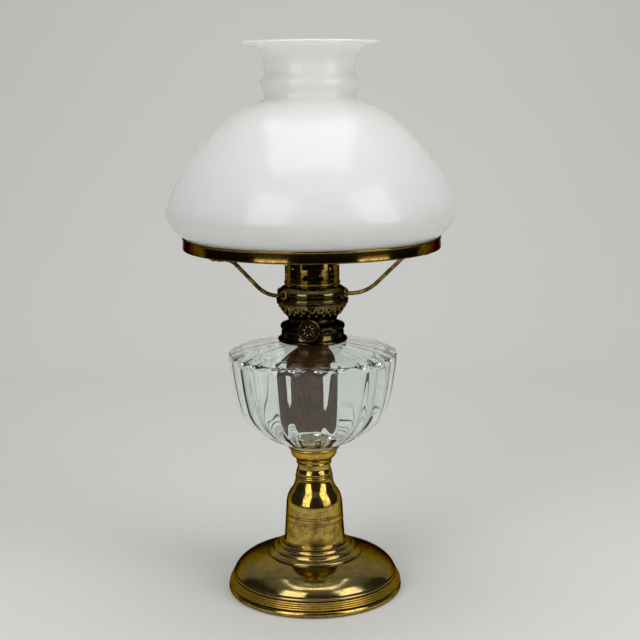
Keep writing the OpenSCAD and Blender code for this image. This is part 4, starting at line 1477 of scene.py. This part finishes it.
@dataclass
class Shade:
    """Opal dome with a fitter edge, a beaded waist and a flared lip."""

    wall: float = 3.0
    fitter: float = 117.5
    fitter_height: float = 9.5
    belly: float = 33.6
    waist: float = 42.2
    waist_from_top: float = 51.3
    waist_height: float = 24.0
    bead: float = 3.5
    bead_half: int = 9
    lip: float = 63.1
    lip_wall: float = 2.0
    flare_steps: int = 22

    def outline(self) -> list[Point]:
        """Outside of the glass from the fitter edge up to the lip.

        Returns:
            The points.
        """
        low, top = heights("shade_glass")
        wide, fitter, neck = reach("shade_glass"), self.fitter, self.waist
        edge, belly, waist = low + self.fitter_height, low + self.belly, top - self.waist_from_top
        dome, half = waist - belly, self.bead_half
        middle = waist + 0.6 * self.waist_height
        line = arc((fitter - 1.0, low + 1.0), 1.0, -90, 0, 5) + [(fitter, edge)]
        line += curve((fitter, edge), (fitter + 9, edge + 5), (wide, belly - 9), (wide, belly), 18)
        line += curve((wide, belly), (wide, belly + 0.172 * dome), (neck + 53, waist - 0.167 * dome),
                      (neck + 1.6, waist - 0.6), 44)
        line += curve(line[-1], (neck + 0.4, waist), (neck, waist + 0.8), (neck, waist + 2.6), 6)
        line += [(neck, middle - half)]
        for t in range(1 - half, half):
            line.append((neck + self.bead * cos(pi / 2 * t / half) ** 1.5, middle + t))
        line += [(neck, middle + half)]
        flare = (neck, max(waist + self.waist_height, middle + half + 0.5))
        return line + curve(flare, (neck, top - 7.6), (self.lip - 14, top - 1.6),
                            (self.lip - 0.6, top - self.lip_wall + 0.1), self.flare_steps)

    def build(self, opal: Material) -> None:
        """Turns the shade, which thins towards its lip, and hands it over.

        Args:
            opal: The opal glass.
        """
        line = self.outline()
        inner, last, round_lip = inset(line, self.wall), len(line) - 1, self.lip_wall / 2
        for i, thin in enumerate(inset(line, self.lip_wall)):
            share = max(0.0, 1 - (last - i) / self.flare_steps)
            inner[i] = tuple(a + share * (b - a) for a, b in zip(inner[i], thin))
        centre = (self.lip - round_lip, heights("shade_glass")[1] - round_lip)
        lip = arc(centre, round_lip - 0.05, -75, 100, 8)
        piece = revolve("shade", line + lip + inner[-3::-1], 192, 60)
        publish(dress(piece, opal), Body.SHADE, Slot.OPAL_GLASS, "shade_glass")


@dataclass
class Studio:
    """Pale paper sweep, softboxes and the camera. Lights and paper are in metres."""

    eye: tuple[float, float, float] = (7.0, -1189.0, 485.0)
    lens: float = 72.0
    sensor: float = 36.0
    pitch: float = 10.53
    roll: float = -0.5
    box_size: Pair = (0.9, 1.7)
    box_power: float = 13.2
    box_turns: Pair = (-34.0, 54.0)
    box_away: float = 1.5
    box_height: float = 0.86
    top_size: Pair = (1.3, 1.3)
    top_power: float = 11.5
    top_height: float = 1.75
    aim_height: float = 0.3
    sky: str = "#c8c8c6"
    sky_range: Pair = (0.6, 0.95)
    sky_strength: Pair = (0.06, 0.45)
    paper_half: float = 3.2
    paper_front: float = -3.0
    paper_top: float = 3.2
    paper_under: float = 0.0004
    bend_at: float = 0.9
    bend: float = 0.8
    bend_steps: int = 12

    def camera(self) -> None:
        """Sets the camera at the photograph's place."""
        data = bpy.data.cameras.new("camera")
        data.lens, data.sensor_width = self.lens, self.sensor
        eye = make_object("camera", data)
        eye.matrix_world = (in_place(*self.eye) @ Matrix.Rotation(radians(90 - self.pitch), 4, "X")
                            @ Matrix.Rotation(radians(self.roll), 4, "Z"))
        bpy.context.scene.camera = eye

    def softbox(self, place: Vector, size: Pair, power: float) -> None:
        """Hangs one softbox that faces the lamp.

        Args:
            place: Middle of the softbox, in metres.
            size: Width and height, in metres.
            power: Power in watts.
        """
        data = bpy.data.lights.new("softbox", "AREA")
        data.shape, data.energy = "RECTANGLE", power
        data.size, data.size_y = size
        aim = (Vector((0, 0, self.aim_height)) - place).to_track_quat("-Z", "Y")
        make_object("softbox", data).matrix_world = Matrix.Translation(place) @ aim.to_matrix().to_4x4()

    def lights(self) -> None:
        """Hangs two tall softboxes in front, on either side of the camera, and a weaker one overhead."""
        for turn in (radians(degrees) for degrees in self.box_turns):
            place = Vector((self.box_away * sin(turn), -self.box_away * cos(turn), self.box_height))
            self.softbox(place, self.box_size, self.box_power)
        self.softbox(Vector((0, 0, self.top_height)), self.top_size, self.top_power)

    def room(self) -> None:
        """Leaves the room dark at the sides, with a weak light from its ceiling."""
        world = bpy.data.worlds.new("studio")
        world.use_nodes = True
        bpy.context.scene.world = world
        world.node_tree.nodes.clear()
        add = partial(add_node, world.node_tree)
        axes = add("SeparateXYZ", [add("TexCoord").outputs["Generated"]])
        ceiling = add("MapRange", [axes.outputs["Z"], *self.sky_range, *self.sky_strength])
        light = add("Background", {"Color": linear(self.sky), "Strength": ceiling})
        add("OutputWorld", [light])

    def sweep(self, paper: Material) -> None:
        """Lays the paper on the floor and up behind the lamp in one bend.

        Args:
            paper: The background paper.
        """
        turns = [pi / 2 * i / self.bend_steps for i in range(1, self.bend_steps + 1)]
        line = [(self.paper_front, 0.0), (self.bend_at, 0.0)]
        line += [(self.bend_at + self.bend * sin(a), self.bend - self.bend * cos(a)) for a in turns]
        line += [(self.bend_at + self.bend, self.paper_top)]
        sides = (-self.paper_half, self.paper_half)
        points = [(x, y, z - self.paper_under) for y, z in line for x in sides]
        faces = [(2 * i, 2 * i + 1, 2 * i + 3, 2 * i + 2) for i in range(len(line) - 1)]
        piece = from_faces("paper_sweep", points, faces, 40, mended=False)
        dress(piece, paper)

    def build(self, paper: Material) -> None:
        """Sets up paper, light and camera.

        Args:
            paper: The background paper.
        """
        self.sweep(paper)
        self.lights()
        self.room()
        self.camera()


# Handled and wiped: the column and the neck mirror the room, with brown spots.
BRIGHT_BRASS = AgedBrass("spun brass, rubbed bright", "#c0a250", "#6e5e2e", "#20170a", "#40351c",
                         (0.44, 0.7), (0.06, 0.25), cloud_mm=8.0, pit_share=0.85, groove_mm=5.0,
                         rubbed_from=92.0, dull_share=0.15)
# Seldom wiped: the dome of the foot is clouded olive over a mirror.
FOOT_BRASS = AgedBrass("spun brass, olive patina", "#c2a45c", "#91875c", "#2a2010", "#40351f",
                       (0.3, 0.62), (0.06, 0.2), cloud_mm=14.0, pit_mm=1.5, pit_share=0.65, groove_mm=2.4)
# Brushed: cup and lined band shine softly and golden.
CUP_BRASS = AgedBrass("spun brass, satin and stained", "#cfa94a", "#8f7030", "#2a1e0c", "#6a5630",
                      (0.42, 0.68), (0.24, 0.38), cloud_mm=7.0)
# Heated and sooted: the burner is nearly black, with brass on its edges.
DARK_BRASS = AgedBrass("spun brass, dark patina", "#85744a", "#221b10", "#070604", "#4a402a",
                       (0.22, 0.5), (0.07, 0.18), cloud_mm=8.0, pit_mm=1.2, pit_share=0.8)
# Warmed by the flame: arms, ring and gallery are brown gold.
HOLDER_BRASS = AgedBrass("drawn brass, brown patina", "#997c38", "#3a2c15", "#0f0a05", "#5c4d2c",
                         (0.36, 0.62), (0.07, 0.18), cloud_mm=5.0, pit_mm=1.2, pit_share=0.9)
# Sand leaves the iron dark and gritty, drawing leaves the steel grey and dull, and plaster is chalky.
CAST_IRON = Mottled("sand-cast iron, bare", "#3b3a39", "#2a2827", 1.0, (0.55, 0.8), 2.0, 0.3)
DRAWN_STEEL = Mottled("drawn steel, dull", "#8f8e8a", "#6d6a66", 1.0, (0.3, 0.5), 1.5, 0.05)
PLASTER = Mottled("cast plaster, dry", "#d8d2c2", "#c4bba6", 0.0, (0.85, 0.95), 1.2, 0.15)

# Solids whose own shape is right, under the finish that they take.
KEPT = {
    CAST_IRON: ("foot_weight",),
    DRAWN_STEEL: ("tie_rod", "tie_washer", "tie_nuts", "winder_shaft", "winder_sprockets"),
    PLASTER: ("font_cement", "collar_cement"),
    DARK_BRASS: ("air_basket", "burner_deck", "wick_tube", "air_tube", "winder_gland"),
}


def main() -> None:
    """Builds every sub-assembly in order, then the studio."""
    logging.basicConfig(level=logging.INFO, format="%(message)s")
    bright, olive, satin, dark, brown = [
        brass.build() for brass in (BRIGHT_BRASS, FOOT_BRASS, CUP_BRASS, DARK_BRASS, HOLDER_BRASS)]
    for finish, nodes in KEPT.items():
        material = dark if finish is DARK_BRASS else finish.build()
        for node in nodes:
            for place in frame["nodes"][node].material_slots:
                place.material = material
            LOG.info("%s: kept solid in %s", node, finish.name)
    copies = ring_of_copies()
    Pedestal().build(olive, bright, satin)
    Font().build(PressedGlass().build(), dark)
    Burner(copies).build(dark, brown)
    Winder(copies).build(dark)
    Wick().build(WovenCotton().build())
    Holder(copies).build(brown, dark)
    Shade().build(OpalGlass().build())
    Studio().build(StudioPaper().build())
    bpy.context.scene.view_settings.view_transform = "Standard"


if __name__ == "__main__":
    main()
